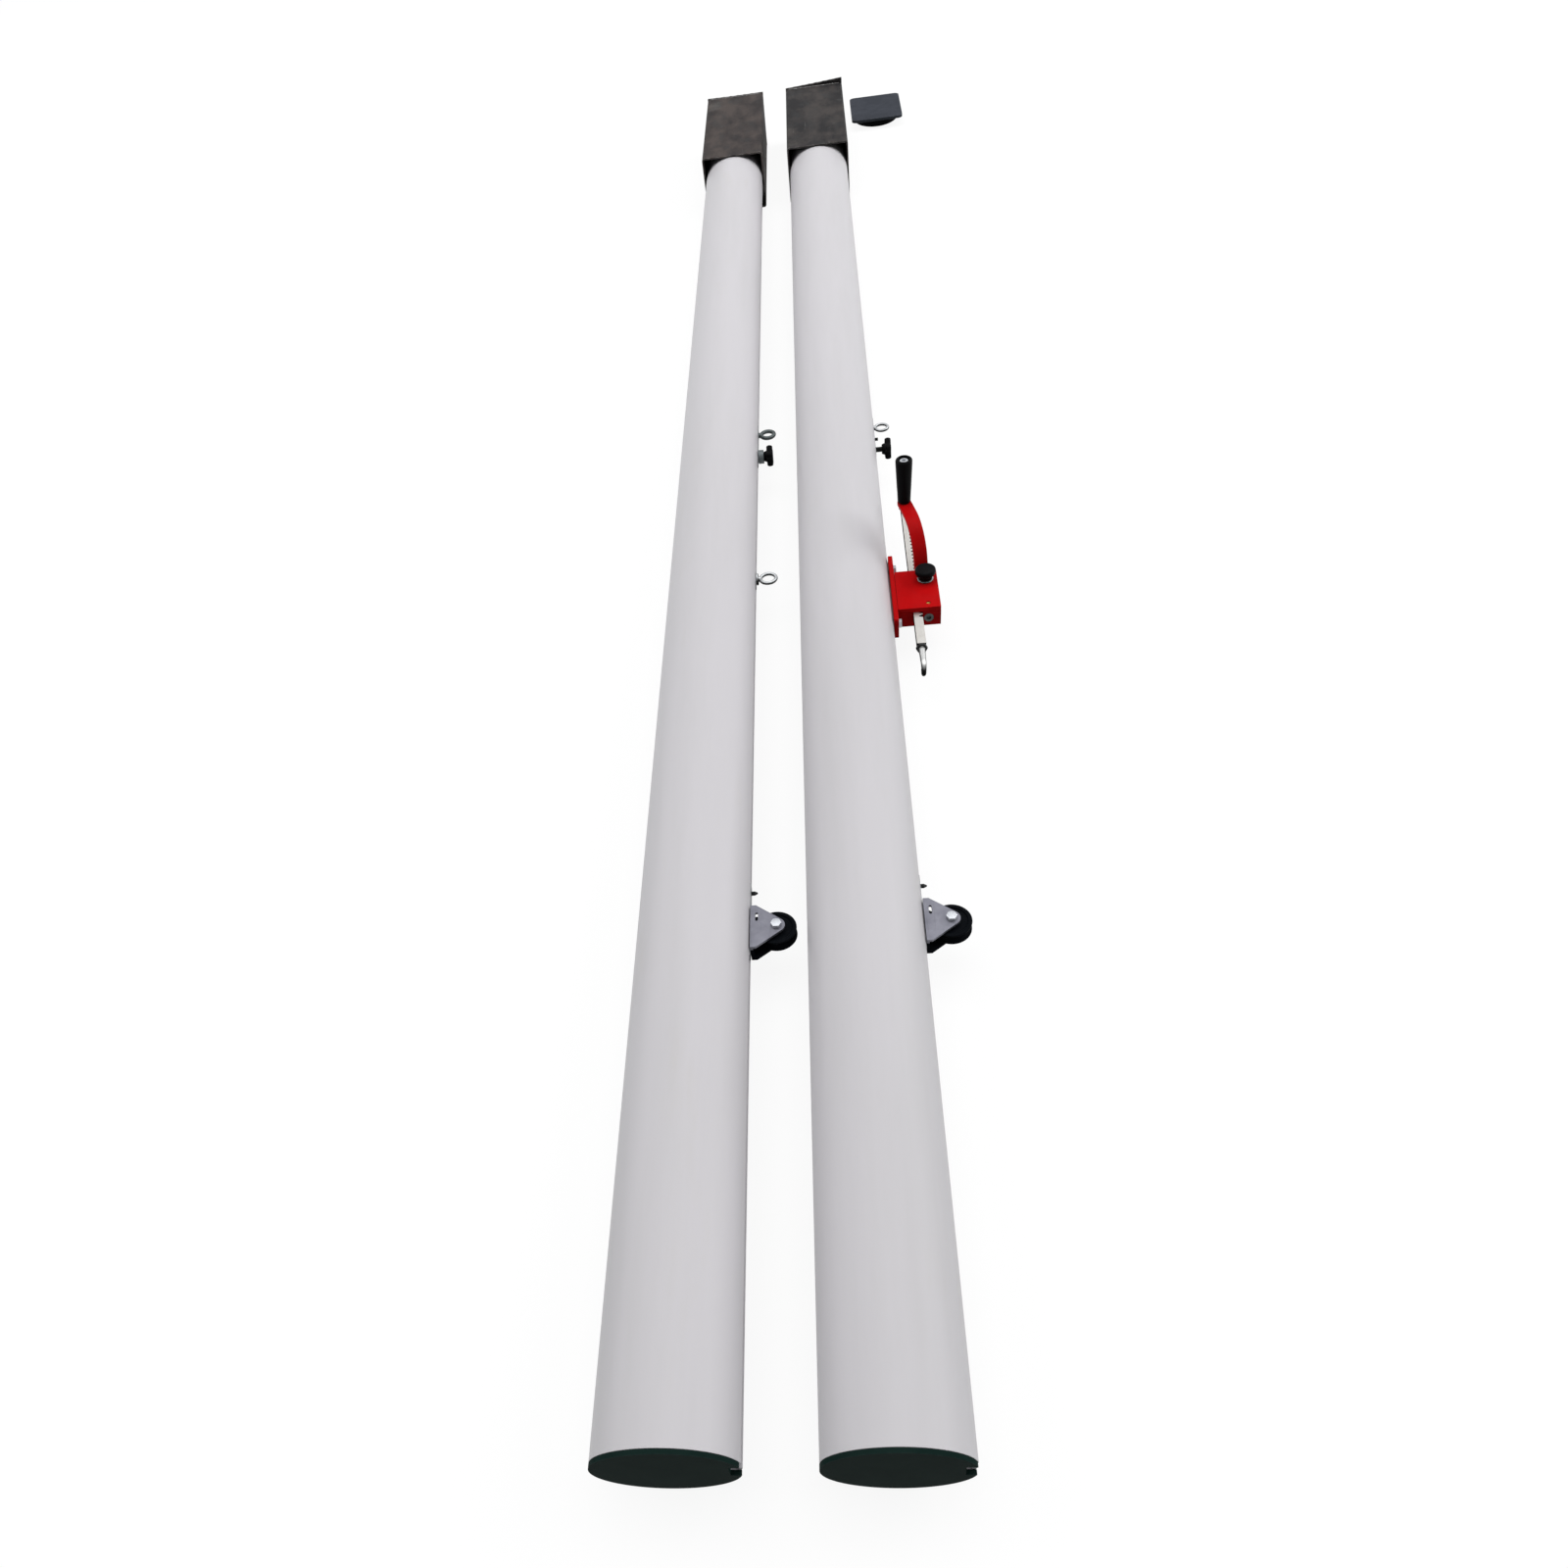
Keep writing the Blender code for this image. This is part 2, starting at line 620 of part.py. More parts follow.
def end_plug_mesh(low, high):
    """Block that fills the extrusion's hollow with a little clearance."""
    bay = GROOVE_WIDTH + 2 * (GROOVE_WALL + SLIDE_GAP)
    outline = oval_outline(POST_WALL + SLIDE_GAP, bay, GROOVE_FLOOR - GROOVE_WALL - SLIDE_GAP)
    return prism([outline], "Y", low, high)


def add_foot_plug(side, frame):
    low = POST_LENGTH + SEAT_GAP
    rim = arc((0, 0), (OVAL_WIDTH / 2, OVAL_HEIGHT / 2), 0, 2 * math.pi * (OVAL_STEPS - 1) / OVAL_STEPS,
              OVAL_STEPS - 1)
    plug = add_part(side + "_foot_plug", prism([rim], "Y", low, low + FOOT_PLUG_THICKNESS),
                    BLACK_PLASTIC, frame)
    join(plug, end_plug_mesh(POST_LENGTH - PLUG_DEPTH, low + FOOT_PLUG_THICKNESS / 2))


def add_sleeve(side, frame):
    outer = rounded_rectangle(SLEEVE_WIDTH, SLEEVE_HEIGHT, SLEEVE_CORNER)
    inner_corner = SLEEVE_CORNER - SLEEVE_WALL
    inner = rounded_rectangle(SLEEVE_WIDTH - 2 * SLEEVE_WALL, SLEEVE_HEIGHT - 2 * SLEEVE_WALL, inner_corner)
    mouth = POST_VISIBLE
    back = mouth + SLEEVE_LENGTH
    add_part(side + "_ground_sleeve", prism([outer, inner], "Y", mouth, back), RAW_STEEL, frame)
    half, low, top = SLEEVE_WIDTH / 2, -SLEEVE_HEIGHT / 2, SLEEVE_HEIGHT / 2
    rise_left, rise_right = SLEEVE_PLATE_RISE[side]
    plate = [(-half, low), (half, low), (half, top + rise_right), (-half, top + rise_left)]
    add_part(side + "_sleeve_end_plate",
             prism([plate], "Y", back + SEAT_GAP, back + SEAT_GAP + SLEEVE_PLATE), RAW_STEEL, frame)


def add_sleeve_cover(frame):
    centre = (COVER_CENTRE[0], COVER_CENTRE[1])
    plate_low = COVER_PLUG_HEIGHT
    rim = rounded_rectangle(COVER_WIDTH, COVER_LENGTH, COVER_CORNER, 6)
    cover = add_part("sleeve_cover", prism([rim], "Z", plate_low, plate_low + COVER_THICKNESS),
                     SLATE_PLASTIC, frame, (*centre, 0))
    break_edges(cover, EDGE_BREAK)
    plug = arc((0, 0), (OVAL_HEIGHT / 2, OVAL_WIDTH / 2), 0, 2 * math.pi * 47 / 48, 47)
    join(cover, prism([plug], "Z", 0, plate_low + COVER_THICKNESS / 2), (*centre, 0))


# Pulley

def groove_bar(name, frame, span, holes):
    """Bar that slides in the T-groove, bored through for the screws that stand in it."""
    bar = add_part(name, prism([groove_bar_outline()], "Y", *span), ZINC, frame)
    for at, radius in holes:
        cut(bar, rod(radius + BORE_GAP, "X", GROOVE_FLOOR, 5 * MM), (0, at, 0))


def add_pulley(side, frame):
    name = side + "_pulley_"
    groove_bar(name + "slide_bar", frame, PULLEY_BAR, [(LOCK_SCREW_AT, LOCK_SCREW_RADIUS)])
    screw_low = GROOVE_FLOOR + SEAT_GAP
    screw = [(0, LOCK_SCREW_OUT), (LOCK_SCREW_TIP_RADIUS, LOCK_SCREW_OUT),
             (LOCK_SCREW_RADIUS, LOCK_SCREW_OUT / 2), (LOCK_SCREW_RADIUS, screw_low), (0, screw_low)]
    add_part(name + "lock_screw", turned(screw, "X", 16), DARK_STEEL, frame, (0, LOCK_SCREW_AT, 0))

    half = BRACKET_INSIDE / 2 + BRACKET_PLATE
    bracket = add_part(name + "bracket", prism([bracket_outline()], "Z", -half, half), ZINC, frame)
    inside = BRACKET_INSIDE / 2
    cut(bracket, block((SEAT_GAP + BRACKET_PLATE, -BRACKET_LENGTH, -inside),
                       (2 * AXLE_OUT, BRACKET_LENGTH, inside)))
    axle_radius = M6[0] / 2
    cut(bracket, rod(axle_radius + BORE_GAP, "Z", -2 * half, 2 * half), (AXLE_OUT, 0, 0))
    length, width = BRACKET_SLOT
    slot = rounded_rectangle(width, length, width / 2, 3, BRACKET_SLOT_AT)
    cut(bracket, prism([slot], "Z", 0, 2 * half))

    head, shank = hex_bolt(M6, "Z", half + SEAT_GAP, 2 * half + M6[2] + 2.5 * MM)
    bolt = add_part(name + "axle_bolt", head, ZINC, frame, (AXLE_OUT, 0, 0))
    join(bolt, shank, (AXLE_OUT, 0, 0))
    add_part(name + "axle_nut", hex_nut(M6, "Z", -half - SEAT_GAP - M6[2]), ZINC, frame, (AXLE_OUT, 0, 0))
    bush_half = BRACKET_INSIDE / 2 - SEAT_GAP
    add_part(name + "bush", tube(WHEEL_BUSH_RADIUS, axle_radius + BORE_GAP, "Z", -bush_half, bush_half),
             BRIGHT_STEEL, frame, (AXLE_OUT, 0, 0))
    add_part(name + "wheel", turned(wheel_profile(), "Z", 28), BLACK_PLASTIC, frame, (AXLE_OUT, 0, 0))


def wheel_profile():
    """Cable wheel: two flanges, a round-bottomed cable groove and shallow dished sides."""
    half = WHEEL_THICKNESS / 2
    flange = 1.6 * MM
    groove_half = half - flange
    groove = [
        (WHEEL_RADIUS - (WHEEL_RADIUS - WHEEL_GROOVE_RADIUS) * math.sin(math.pi * i / 6),
         groove_half * math.cos(math.pi * i / 6))
        for i in range(7)
    ]
    bore = WHEEL_BUSH_RADIUS + BORE_GAP
    dish = 1.5 * MM
    return ([(bore, half), (8 * MM, half), (9 * MM, half - dish), (16 * MM, half - dish), (17 * MM, half),
             (WHEEL_RADIUS - 0.6 * MM, half), (WHEEL_RADIUS, half - 0.6 * MM)]
            + groove +
            [(WHEEL_RADIUS, 0.6 * MM - half), (WHEEL_RADIUS - 0.6 * MM, -half), (17 * MM, -half),
             (16 * MM, dish - half), (9 * MM, dish - half), (8 * MM, -half), (bore, -half)])


# Net slider and anchor

def add_eye(name, frame, at, size, flange=0.0):
    """Ring bolt: a ring lying flat with its threaded shank standing in the groove bar."""
    out, radius, wire = size
    bpy.ops.mesh.primitive_torus_add(major_segments=24, minor_segments=9,
                                     major_radius=radius, minor_radius=wire)
    ring = bpy.context.object.data.copy()
    bpy.data.objects.remove(bpy.context.object, do_unlink=True)
    eye = add_part(name, ring, ZINC, frame, (out, at, 0))
    near_side = out - radius
    join(eye, rod(M8[0] / 2, "X", GROOVE_FLOOR + SEAT_GAP + 1 * MM, near_side), (0, at, 0))
    if flange:
        join(eye, rod(flange, "X", SEAT_GAP, SEAT_GAP + ANCHOR_FLANGE, 20), (0, at, 0))
    return eye


def add_star_knob(name, frame):
    low = KNOB_OUT + KNOB_HUB_HEIGHT
    knob = add_part(name, prism([star_outline()], "X", low, low + KNOB_THICKNESS), BLACK_PLASTIC, frame)
    break_edges(knob, 1.5 * MM)
    join(knob, rod(KNOB_HUB_RADIUS, "X", KNOB_OUT, low + KNOB_THICKNESS / 2, 20,
                   far_radius=KNOB_HUB_RADIUS + 2 * MM))
    cut(knob, rod(M8[0] / 2 + BORE_GAP, "X", 0, low + KNOB_THICKNESS / 2))


def add_slider(side, frame, knob_frame):
    name = side + "_slider_"
    groove_bar(name + "bar", frame, SLIDER_BAR, [(0, M8[0] / 2), (EYE_AT, M8[0] / 2)])
    add_eye(name + "eye", frame, EYE_AT, EYES[side])
    add_star_knob(name + "knob", knob_frame)
    stud_end = KNOB_OUT + KNOB_HUB_HEIGHT + KNOB_THICKNESS / 2 - SEAT_GAP
    add_part(name + "knob_stud", rod(M8[0] / 2, "X", GROOVE_FLOOR + SEAT_GAP, stud_end), ZINC, knob_frame)


def add_knob_spacer(frame):
    bore = M8[0] / 2 + BORE_GAP
    spacer = tube(SPACER_RADIUS, bore, "X", SEAT_GAP, KNOB_OUT - SEAT_GAP)
    add_part("left_slider_knob_spacer", spacer, ZINC, frame)


def add_anchor(frame, eye_frame):
    half = ANCHOR_NUT_LENGTH / 2
    groove_bar("left_anchor_slot_nut", frame, (-half, half), [(0, M8[0] / 2)])
    add_eye("left_anchor_eye", eye_frame, 0, EYES["anchor"], ANCHOR_FLANGE_RADIUS)


# Tensioner frame

def add_mount(frame):
    """Plate bolted to the groove through two slot nuts."""
    low, high = SEAT_GAP, SEAT_GAP + MOUNT_PLATE
    middle = sum(MOUNT_PLATE_SPAN) / 2
    length = MOUNT_PLATE_SPAN[1] - MOUNT_PLATE_SPAN[0]
    rim = rounded_rectangle(length, MOUNT_PLATE_HEIGHT, 3 * MM, 3, (middle, 0))
    radius = M6[0] / 2
    holes = [arc((at, 0), (radius + BORE_GAP, radius + BORE_GAP), 0, 2 * math.pi * 15 / 16, 15)
             for at in MOUNT_BOLTS_AT]
    add_part("tensioner_mount_plate", prism([rim] + holes, "X", low, high), RED, frame)

    for place, at in zip(("front", "rear"), MOUNT_BOLTS_AT):
        half = SLOT_NUT_LENGTH / 2
        nut = prism([groove_bar_outline()], "Y", at - half, at + half)
        slot_nut = add_part("tensioner_slot_nut_" + place, nut, ZINC, frame)
        cut(slot_nut, rod(radius + BORE_GAP, "X", GROOVE_FLOOR, 5 * MM), (0, at, 0))
        head, shank = hex_bolt(M6, "X", high + SEAT_GAP, high - GROOVE_FLOOR - 1 * MM)
        bolt = add_part("tensioner_mount_bolt_" + place, head, ZINC, frame, (0, at, 0))
        join(bolt, shank, (0, at, 0))


def add_housing(frame):
    """Block milled out for the rack, pinion and plunger, and the plate that closes its top."""
    front, back = HOUSING_SPAN
    body = add_part("tensioner_housing", block((HOUSING_IN, front, -HOUSING_TOP), (HOUSING_OUT, back, BODY_TOP)),
                    RED, frame)
    beyond = 10 * MM
    cut(body, block((RACK_BACK_OUT - SLIDE_GAP, front - beyond, FLOOR_TOP),
                    (PITCH_LINE_OUT + RACK_ADDENDUM + SLIDE_GAP, back + beyond, HOUSING_TOP)))
    cut(body, rod(PINION_TIP + BORE_GAP + SEAT_GAP, "Z", FLOOR_TOP, HOUSING_TOP, 36), (PINION_OUT, 0, 0))
    cut(body, rod(BUSH_RADIUS + BORE_GAP, "Z", -HOUSING_TOP + 1.5 * MM, 0, 28), (PINION_OUT, 0, 0))
    cut(body, rod(PLUNGER_RADIUS + BORE_GAP, "Y", front - beyond, -PINION_TIP, 24), (PINION_OUT, 0, -PLUNGER_DROP))
    plug_back = front + END_PLUG_LENGTH + SEAT_GAP
    cut(body, rod(END_PLUG_RADIUS + BORE_GAP, "Y", front - beyond, plug_back, 24), (PINION_OUT, 0, -PLUNGER_DROP))
    cut(body, rod(OIL_SCREW_RADIUS + BORE_GAP, "Z", 0, HOUSING_TOP), (PINION_OUT, OIL_SCREW_AT, 0))

    width = HOUSING_OUT - HOUSING_IN
    centre = ((HOUSING_OUT + HOUSING_IN) / 2, (front + back) / 2)
    rim = rounded_rectangle(width, back - front, 1 * MM, 2, centre)
    holes = []
    for at, radius, steps in ((0, BUSH_RADIUS, 28), (OIL_SCREW_AT, OIL_SCREW_RADIUS, 16)):
        around = (radius + BORE_GAP, radius + BORE_GAP)
        holes.append(arc((PINION_OUT, at), around, 0, 2 * math.pi * (steps - 1) / steps, steps - 1))
    plate = prism([rim] + holes, "Z", BODY_TOP + SEAT_GAP, HOUSING_TOP)
    cover = add_part("tensioner_top_plate", plate, RED, frame)
    break_edges(cover, EDGE_BREAK / 2)


def add_plunger(frame, plunger_frame):
    """Detent plunger with its spring, end plug and the oil screw above it."""
    tip = -PINION_TIP - PLUNGER_STANDOFF
    back = tip - PLUNGER_LENGTH
    profile = [(0, tip), (PLUNGER_TIP_RADIUS, tip), (PLUNGER_RADIUS - 1.5 * MM, tip - PLUNGER_CONE),
               (PLUNGER_RADIUS, tip - PLUNGER_CONE), (PLUNGER_RADIUS, back), (0, back)]
    add_part("tensioner_plunger", turned(profile, "Y", 20), BRIGHT_STEEL, plunger_frame)

    front = HOUSING_SPAN[0]
    spring_start = back - SEAT_GAP - SPRING_WIRE
    spring_end = front + END_PLUG_LENGTH + SEAT_GAP + SPRING_WIRE
    curve = bpy.data.curves.new("spring", "CURVE")
    curve.dimensions = "3D"
    curve.bevel_depth = SPRING_WIRE
    curve.bevel_resolution = 0
    curve.use_fill_caps = True
    spline = curve.splines.new("POLY")
    count = 10 * SPRING_TURNS + 1
    spline.points.add(count - 1)
    for i, point in enumerate(spline.points):
        turn = 2 * math.pi * i / 10
        along = spring_start + (spring_end - spring_start) * i / (count - 1)
        point.co = (SPRING_RADIUS * math.cos(turn), along, SPRING_RADIUS * math.sin(turn), 1)
    holder = bpy.data.objects.new("spring", curve)
    PARTS.objects.link(holder)
    add_part("tensioner_plunger_spring", mesh_of(holder), BRIGHT_STEEL, frame, (PINION_OUT, 0, -PLUNGER_DROP))

    plug = add_part("tensioner_end_plug", rod(END_PLUG_RADIUS, "Y", front, front + END_PLUG_LENGTH, 24),
                    DARK_STEEL, frame, (PINION_OUT, 0, -PLUNGER_DROP))
    key = hexagon(6 * MM, "Y", front - 2 * MM, front + 3 * MM)
    cut(plug, key, (PINION_OUT, 0, -PLUNGER_DROP))
    low = PLUNGER_RADIUS + BORE_GAP + SEAT_GAP - PLUNGER_DROP
    screw = add_part("tensioner_oil_screw",
                     rod(OIL_SCREW_RADIUS, "Z", low, HOUSING_TOP - OIL_SCREW_DEEP),
                     BRONZE, frame, (PINION_OUT, OIL_SCREW_AT, 0))
    slot = block((-OIL_SCREW_RADIUS * 2, -0.5 * MM, HOUSING_TOP - OIL_SCREW_DEEP - 1.2 * MM),
                 (OIL_SCREW_RADIUS * 2, 0.5 * MM, HOUSING_TOP))
    cut(screw, slot, (PINION_OUT, OIL_SCREW_AT, 0))


# Tensioner rack

def add_rack(frame):
    """Toothed bar with the cable hook screwed into its front and a stop screw in its tail."""
    rack = add_part("tensioner_rack", prism([rack_outline()], "Z", RACK_LOW, RACK_HIGH),
                    BRIGHT_STEEL, frame)
    centre = ((RACK_BACK_OUT + PITCH_LINE_OUT + RACK_ADDENDUM) / 2, (RACK_LOW + RACK_HIGH) / 2)
    bore = 16 * MM
    shank = M8[0] / 2
    cut(rack, rod(shank + BORE_GAP, "Y", RACK_FRONT - bore, RACK_FRONT + bore), (centre[0], 0, centre[1]))
    cut(rack, rod(shank + BORE_GAP, "Y", RACK_TAIL - bore, RACK_TAIL + bore), (centre[0], 0, centre[1]))

    thin_nut = M8[:2] + (HOOK_NUT_THICKNESS,)
    nut_low = RACK_FRONT - HOOK_NUT_AT - HOOK_NUT_THICKNESS
    add_part("tensioner_hook_nut", hex_nut(thin_nut, "Y", nut_low), DARK_STEEL, frame, (centre[0], 0, centre[1]))
    hook = add_part("tensioner_hook", hook_mesh(nut_low - SEAT_GAP), BRIGHT_STEEL, frame,
                    (centre[0], 0, centre[1]))
    join(hook, rod(shank, "Y", nut_low - 2 * MM, RACK_FRONT + bore - SEAT_GAP), (centre[0], 0, centre[1]))

    seat = RACK_TAIL + SEAT_GAP
    stop = add_part("tensioner_rack_stop", rod(STOP_RADIUS, "Y", seat, seat + STOP_THICKNESS, 24),
                    DARK_STEEL, frame, (centre[0], 0, centre[1]))
    join(stop, rod(shank, "Y", RACK_TAIL - bore + SEAT_GAP, seat + STOP_THICKNESS / 2),
         (centre[0], 0, centre[1]))
    join(stop, rod(M8[1] / 2, "Y", seat + STOP_THICKNESS / 2, seat + STOP_THICKNESS + 5 * MM),
         (centre[0], 0, centre[1]))


def hook_mesh(start):
    """Tapered hook that runs forward from the nut, then turns down and back."""
    path = [(start, 0), (start - 6 * MM, 0), (start - HOOK_STRAIGHT / 2, 0), (start - HOOK_STRAIGHT, 0)]
    centre = (start - HOOK_STRAIGHT, -HOOK_BEND)
    path += arc(centre, (-HOOK_BEND, HOOK_BEND), math.pi / 2, -math.pi / 2, 10)[1:]
    path.append((centre[0] + HOOK_TIP, centre[1] - HOOK_BEND))
    lengths = [0.0]
    for near, far in zip(path, path[1:]):
        lengths.append(lengths[-1] + math.dist(near, far))
    curve = bpy.data.curves.new("hook", "CURVE")
    curve.dimensions = "3D"
    curve.bevel_depth = 1.0
    curve.bevel_resolution = 3
    curve.use_fill_caps = True
    spline = curve.splines.new("POLY")
    spline.points.add(len(path) - 1)
    for point, (along, up), run in zip(spline.points, path, lengths):
        share = run / lengths[-1]
        point.co = (0, along, up, 1)
        point.radius = HOOK_RADII[0] + (HOOK_RADII[1] - HOOK_RADII[0]) * share
    holder = bpy.data.objects.new("hook", curve)
    PARTS.objects.link(holder)
    return mesh_of(holder)


# Tensioner crank

def add_crank(crank, hub_frame, grip_frame):
    """Pinion with its journals, the bowed arm on its square end, and the grip on the arm."""
    pinion_low = FLOOR_TOP + SEAT_GAP
    pinion_high = BODY_TOP
    pinion = add_part("tensioner_pinion", prism([pinion_outline()], "Z", pinion_low, pinion_high),
                      BRIGHT_STEEL, crank)
    pinion.rotation_euler = (0, 0, -ARM_TURN)
    join(pinion, rod(JOURNAL_RADIUS, "Z", -HOUSING_TOP + 2.5 * MM, pinion_low + 1 * MM, 24))
    journal_top = ARM_LOW - SEAT_GAP
    join(pinion, rod(JOURNAL_RADIUS, "Z", pinion_high - 1 * MM, journal_top, 24))
    square_top = ARM_LOW + ARM_THICKNESS - SEAT_GAP
    corner = SQUARE_DRIVE / math.sqrt(2)
    join(pinion, rod(corner, "Z", journal_top - 1 * MM, square_top, 4, math.pi / 4))

    arm = add_part("tensioner_crank_arm", prism([arm_outline()], "X", -ARM_WIDTH / 2, ARM_WIDTH / 2), RED, crank)
    length = CRANK_RADIUS + ARM_WIDTH
    plan = rounded_rectangle(ARM_WIDTH - 0.02 * MM, length - 0.02 * MM, ARM_WIDTH / 2 - 0.02 * MM, 8,
                             (0, CRANK_RADIUS / 2))
    keep_inside(arm, prism([plan], "Z", 0, 2 * ARM_END_TOP))
    hole = corner + BORE_GAP * math.sqrt(2)
    cut(arm, rod(hole, "Z", 0, ARM_LOW + 2 * ARM_THICKNESS, 4, math.pi / 4))
    cut(arm, rod(M8[0] / 2 + BORE_GAP, "Z", ARM_CENTRE, 2 * ARM_END_TOP), (0, CRANK_RADIUS, 0))

    thrust = tube(THRUST_WASHER_RADIUS, JOURNAL_RADIUS + BORE_GAP, "Z", HOUSING_TOP + SEAT_GAP,
                  ARM_LOW - SEAT_GAP)
    add_part("tensioner_thrust_washer", thrust, ZINC, crank)
    add_hub_knob(hub_frame)
    add_grip(crank, grip_frame)


def add_bushes(frame):
    spans = {"lower": (-HOUSING_TOP + 1.8 * MM, FLOOR_TOP), "upper": (BODY_TOP + SEAT_GAP, HOUSING_TOP)}
    for place, (low, high) in spans.items():
        bush = tube(BUSH_RADIUS, JOURNAL_RADIUS + BORE_GAP, "Z", low, high, 28)
        add_part(place + "_pinion_bush", bush, BRONZE, frame, (PINION_OUT, 0, 0))


def add_hub_knob(frame):
    """Round black knob whose screw holds the arm down on the pinion's square end."""
    low = ARM_LOW + ARM_THICKNESS + SEAT_GAP
    top = low + HUB_KNOB_HEIGHT
    narrow, wide = HUB_KNOB_RADII
    profile = [(0, top), (wide - 4 * MM, top), (wide - 1 * MM, top - 1 * MM), (wide, top - 3 * MM),
               (wide, top - 6 * MM), (narrow, low + 1 * MM), (narrow - 1 * MM, low), (0, low)]
    add_part("tensioner_hub_knob", turned(profile, "Z"), BLACK_PLASTIC, frame)


def add_grip(crank, frame):
    """Turned grip that spins on a shouldered screw, with the screw's head sunk in its end."""
    low = ARM_END_TOP + SEAT_GAP
    top = low + GRIP_LENGTH
    narrow, wide = GRIP_RADII
    recess_radius, recess_depth = GRIP_RECESS
    bore = M8[0] / 2 + BORE_GAP
    profile = [(recess_radius, top - 0.8 * MM), (recess_radius + 0.8 * MM, top), (wide - 2 * MM, top),
               (wide - 0.4 * MM, top - 1.2 * MM), (wide, top - 4 * MM), (narrow + 0.8 * MM, low + 18 * MM),
               (narrow, low + 1.5 * MM), (narrow - 1.5 * MM, low), (bore, low),
               (bore, top - recess_depth), (recess_radius, top - recess_depth)]
    add_part("tensioner_grip", turned(profile, "Z", 24), BLACK_PLASTIC, frame)

    seat = top - recess_depth + SEAT_GAP
    under_arm = ARM_END_TOP - ARM_THICKNESS
    nut_low = under_arm - SEAT_GAP - M8[2]
    at = (0, CRANK_RADIUS, 0)
    screw_head = rod(6.2 * MM, "Z", seat, seat + 3.5 * MM, 20, far_radius=5.2 * MM)
    screw = add_part("tensioner_grip_screw", screw_head, ZINC, crank, at)
    join(screw, rod(M8[0] / 2, "Z", nut_low - 1.5 * MM, seat + 1 * MM), at)
    add_part("tensioner_grip_nut", hex_nut(M8, "Z", nut_low), ZINC, crank, at)


# Assembly

def build():
    assembly = empty("assembly", None, (-ORIGIN_X, -ORIGIN_Y, 0))
    side_of_post = OVAL_WIDTH / 2
    for side, across in (("left", -POST_SPACING), ("right", 0)):
        post = empty(side + "_post", assembly, (across, 0, AXIS_HEIGHT))
        add_post(side, post)
        add_top_cap(side, post)
        add_foot_plug(side, post)
        add_sleeve(side, post)
        at = STATIONS[side]
        add_pulley(side, empty(side + "_pulley", post, (side_of_post, at["pulley"], 0)))
        slider = empty(side + "_slider", post, (side_of_post, at["slider"], 0))
        add_slider(side, slider, empty(side + "_knob", slider, (0, 0, 0)))
        if side == "left":
            add_knob_spacer(slider)
            anchor = empty("left_anchor", post, (side_of_post, at["anchor"], 0))
            add_anchor(anchor, empty("left_anchor_swivel", anchor, (0, 0, 0)))
        else:
            frame = empty("tensioner", post, (side_of_post, at["tensioner"], 0))
            add_mount(frame)
            add_housing(frame)
            add_bushes(frame)
            add_plunger(frame, empty("plunger", frame, (PINION_OUT, 0, -PLUNGER_DROP)))
            add_rack(empty("rack", frame, (0, 0, 0)))
            crank = empty("crank", frame, (PINION_OUT, 0, 0), ARM_TURN)
            add_crank(crank, empty("hub", crank, (0, 0, 0)), empty("grip", crank, (0, CRANK_RADIUS, 0)))
    add_sleeve_cover(assembly)
    shade(list(PARTS.objects))


build()
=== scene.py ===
import math

import bmesh
import bpy
from mathutils import Matrix, Vector


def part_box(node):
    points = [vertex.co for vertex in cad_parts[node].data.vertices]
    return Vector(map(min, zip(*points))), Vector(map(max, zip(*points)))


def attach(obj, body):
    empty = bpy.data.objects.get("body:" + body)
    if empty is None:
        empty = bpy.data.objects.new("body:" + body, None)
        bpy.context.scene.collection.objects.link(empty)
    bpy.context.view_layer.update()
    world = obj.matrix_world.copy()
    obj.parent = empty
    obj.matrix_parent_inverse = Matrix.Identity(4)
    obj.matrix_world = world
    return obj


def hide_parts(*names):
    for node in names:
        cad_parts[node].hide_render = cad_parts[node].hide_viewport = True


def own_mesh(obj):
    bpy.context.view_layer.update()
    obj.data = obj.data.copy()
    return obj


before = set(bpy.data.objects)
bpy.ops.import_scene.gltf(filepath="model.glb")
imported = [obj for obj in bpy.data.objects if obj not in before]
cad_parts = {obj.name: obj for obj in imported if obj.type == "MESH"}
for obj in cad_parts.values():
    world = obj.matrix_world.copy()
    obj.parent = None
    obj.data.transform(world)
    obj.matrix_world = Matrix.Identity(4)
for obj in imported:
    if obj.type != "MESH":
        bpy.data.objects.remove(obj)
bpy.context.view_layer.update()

scene = bpy.context.scene
MM = 0.001


# Posts
# Oval aluminium extrusions, 120 x 100 mm and 2.89 m long, with a T-groove down one side for every fitting.
# White powder coat over the whole section, a little dusty, with faint smudges and a few specks.

def add_node(tree, kind, into=None, **settings):
    """Shader node with its sockets set to values or wired to other nodes' outputs."""
    node = tree.nodes.new("ShaderNode" + kind)
    for name, value in settings.items():
        setattr(node, name, value)
    for key, value in (into or {}).items():
        if isinstance(value, bpy.types.NodeSocket):
            tree.links.new(value, node.inputs[key])
        else:
            node.inputs[key].default_value = value
    return node


def new_group(name, inputs, outputs):
    """Empty shader node group with its named inputs and outputs."""
    tree = bpy.data.node_groups.new(name, "ShaderNodeTree")
    for label, kind, value in inputs:
        socket = tree.interface.new_socket(label, in_out="INPUT", socket_type="NodeSocket" + kind)
        socket.default_value = value
    for label, kind in outputs:
        tree.interface.new_socket(label, in_out="OUTPUT", socket_type="NodeSocket" + kind)
    return tree, tree.nodes.new("NodeGroupInput"), tree.nodes.new("NodeGroupOutput")


def use_group(tree, group, into):
    """Places a group in a material with its own values."""
    return add_node(tree, "Group", into, node_tree=group)


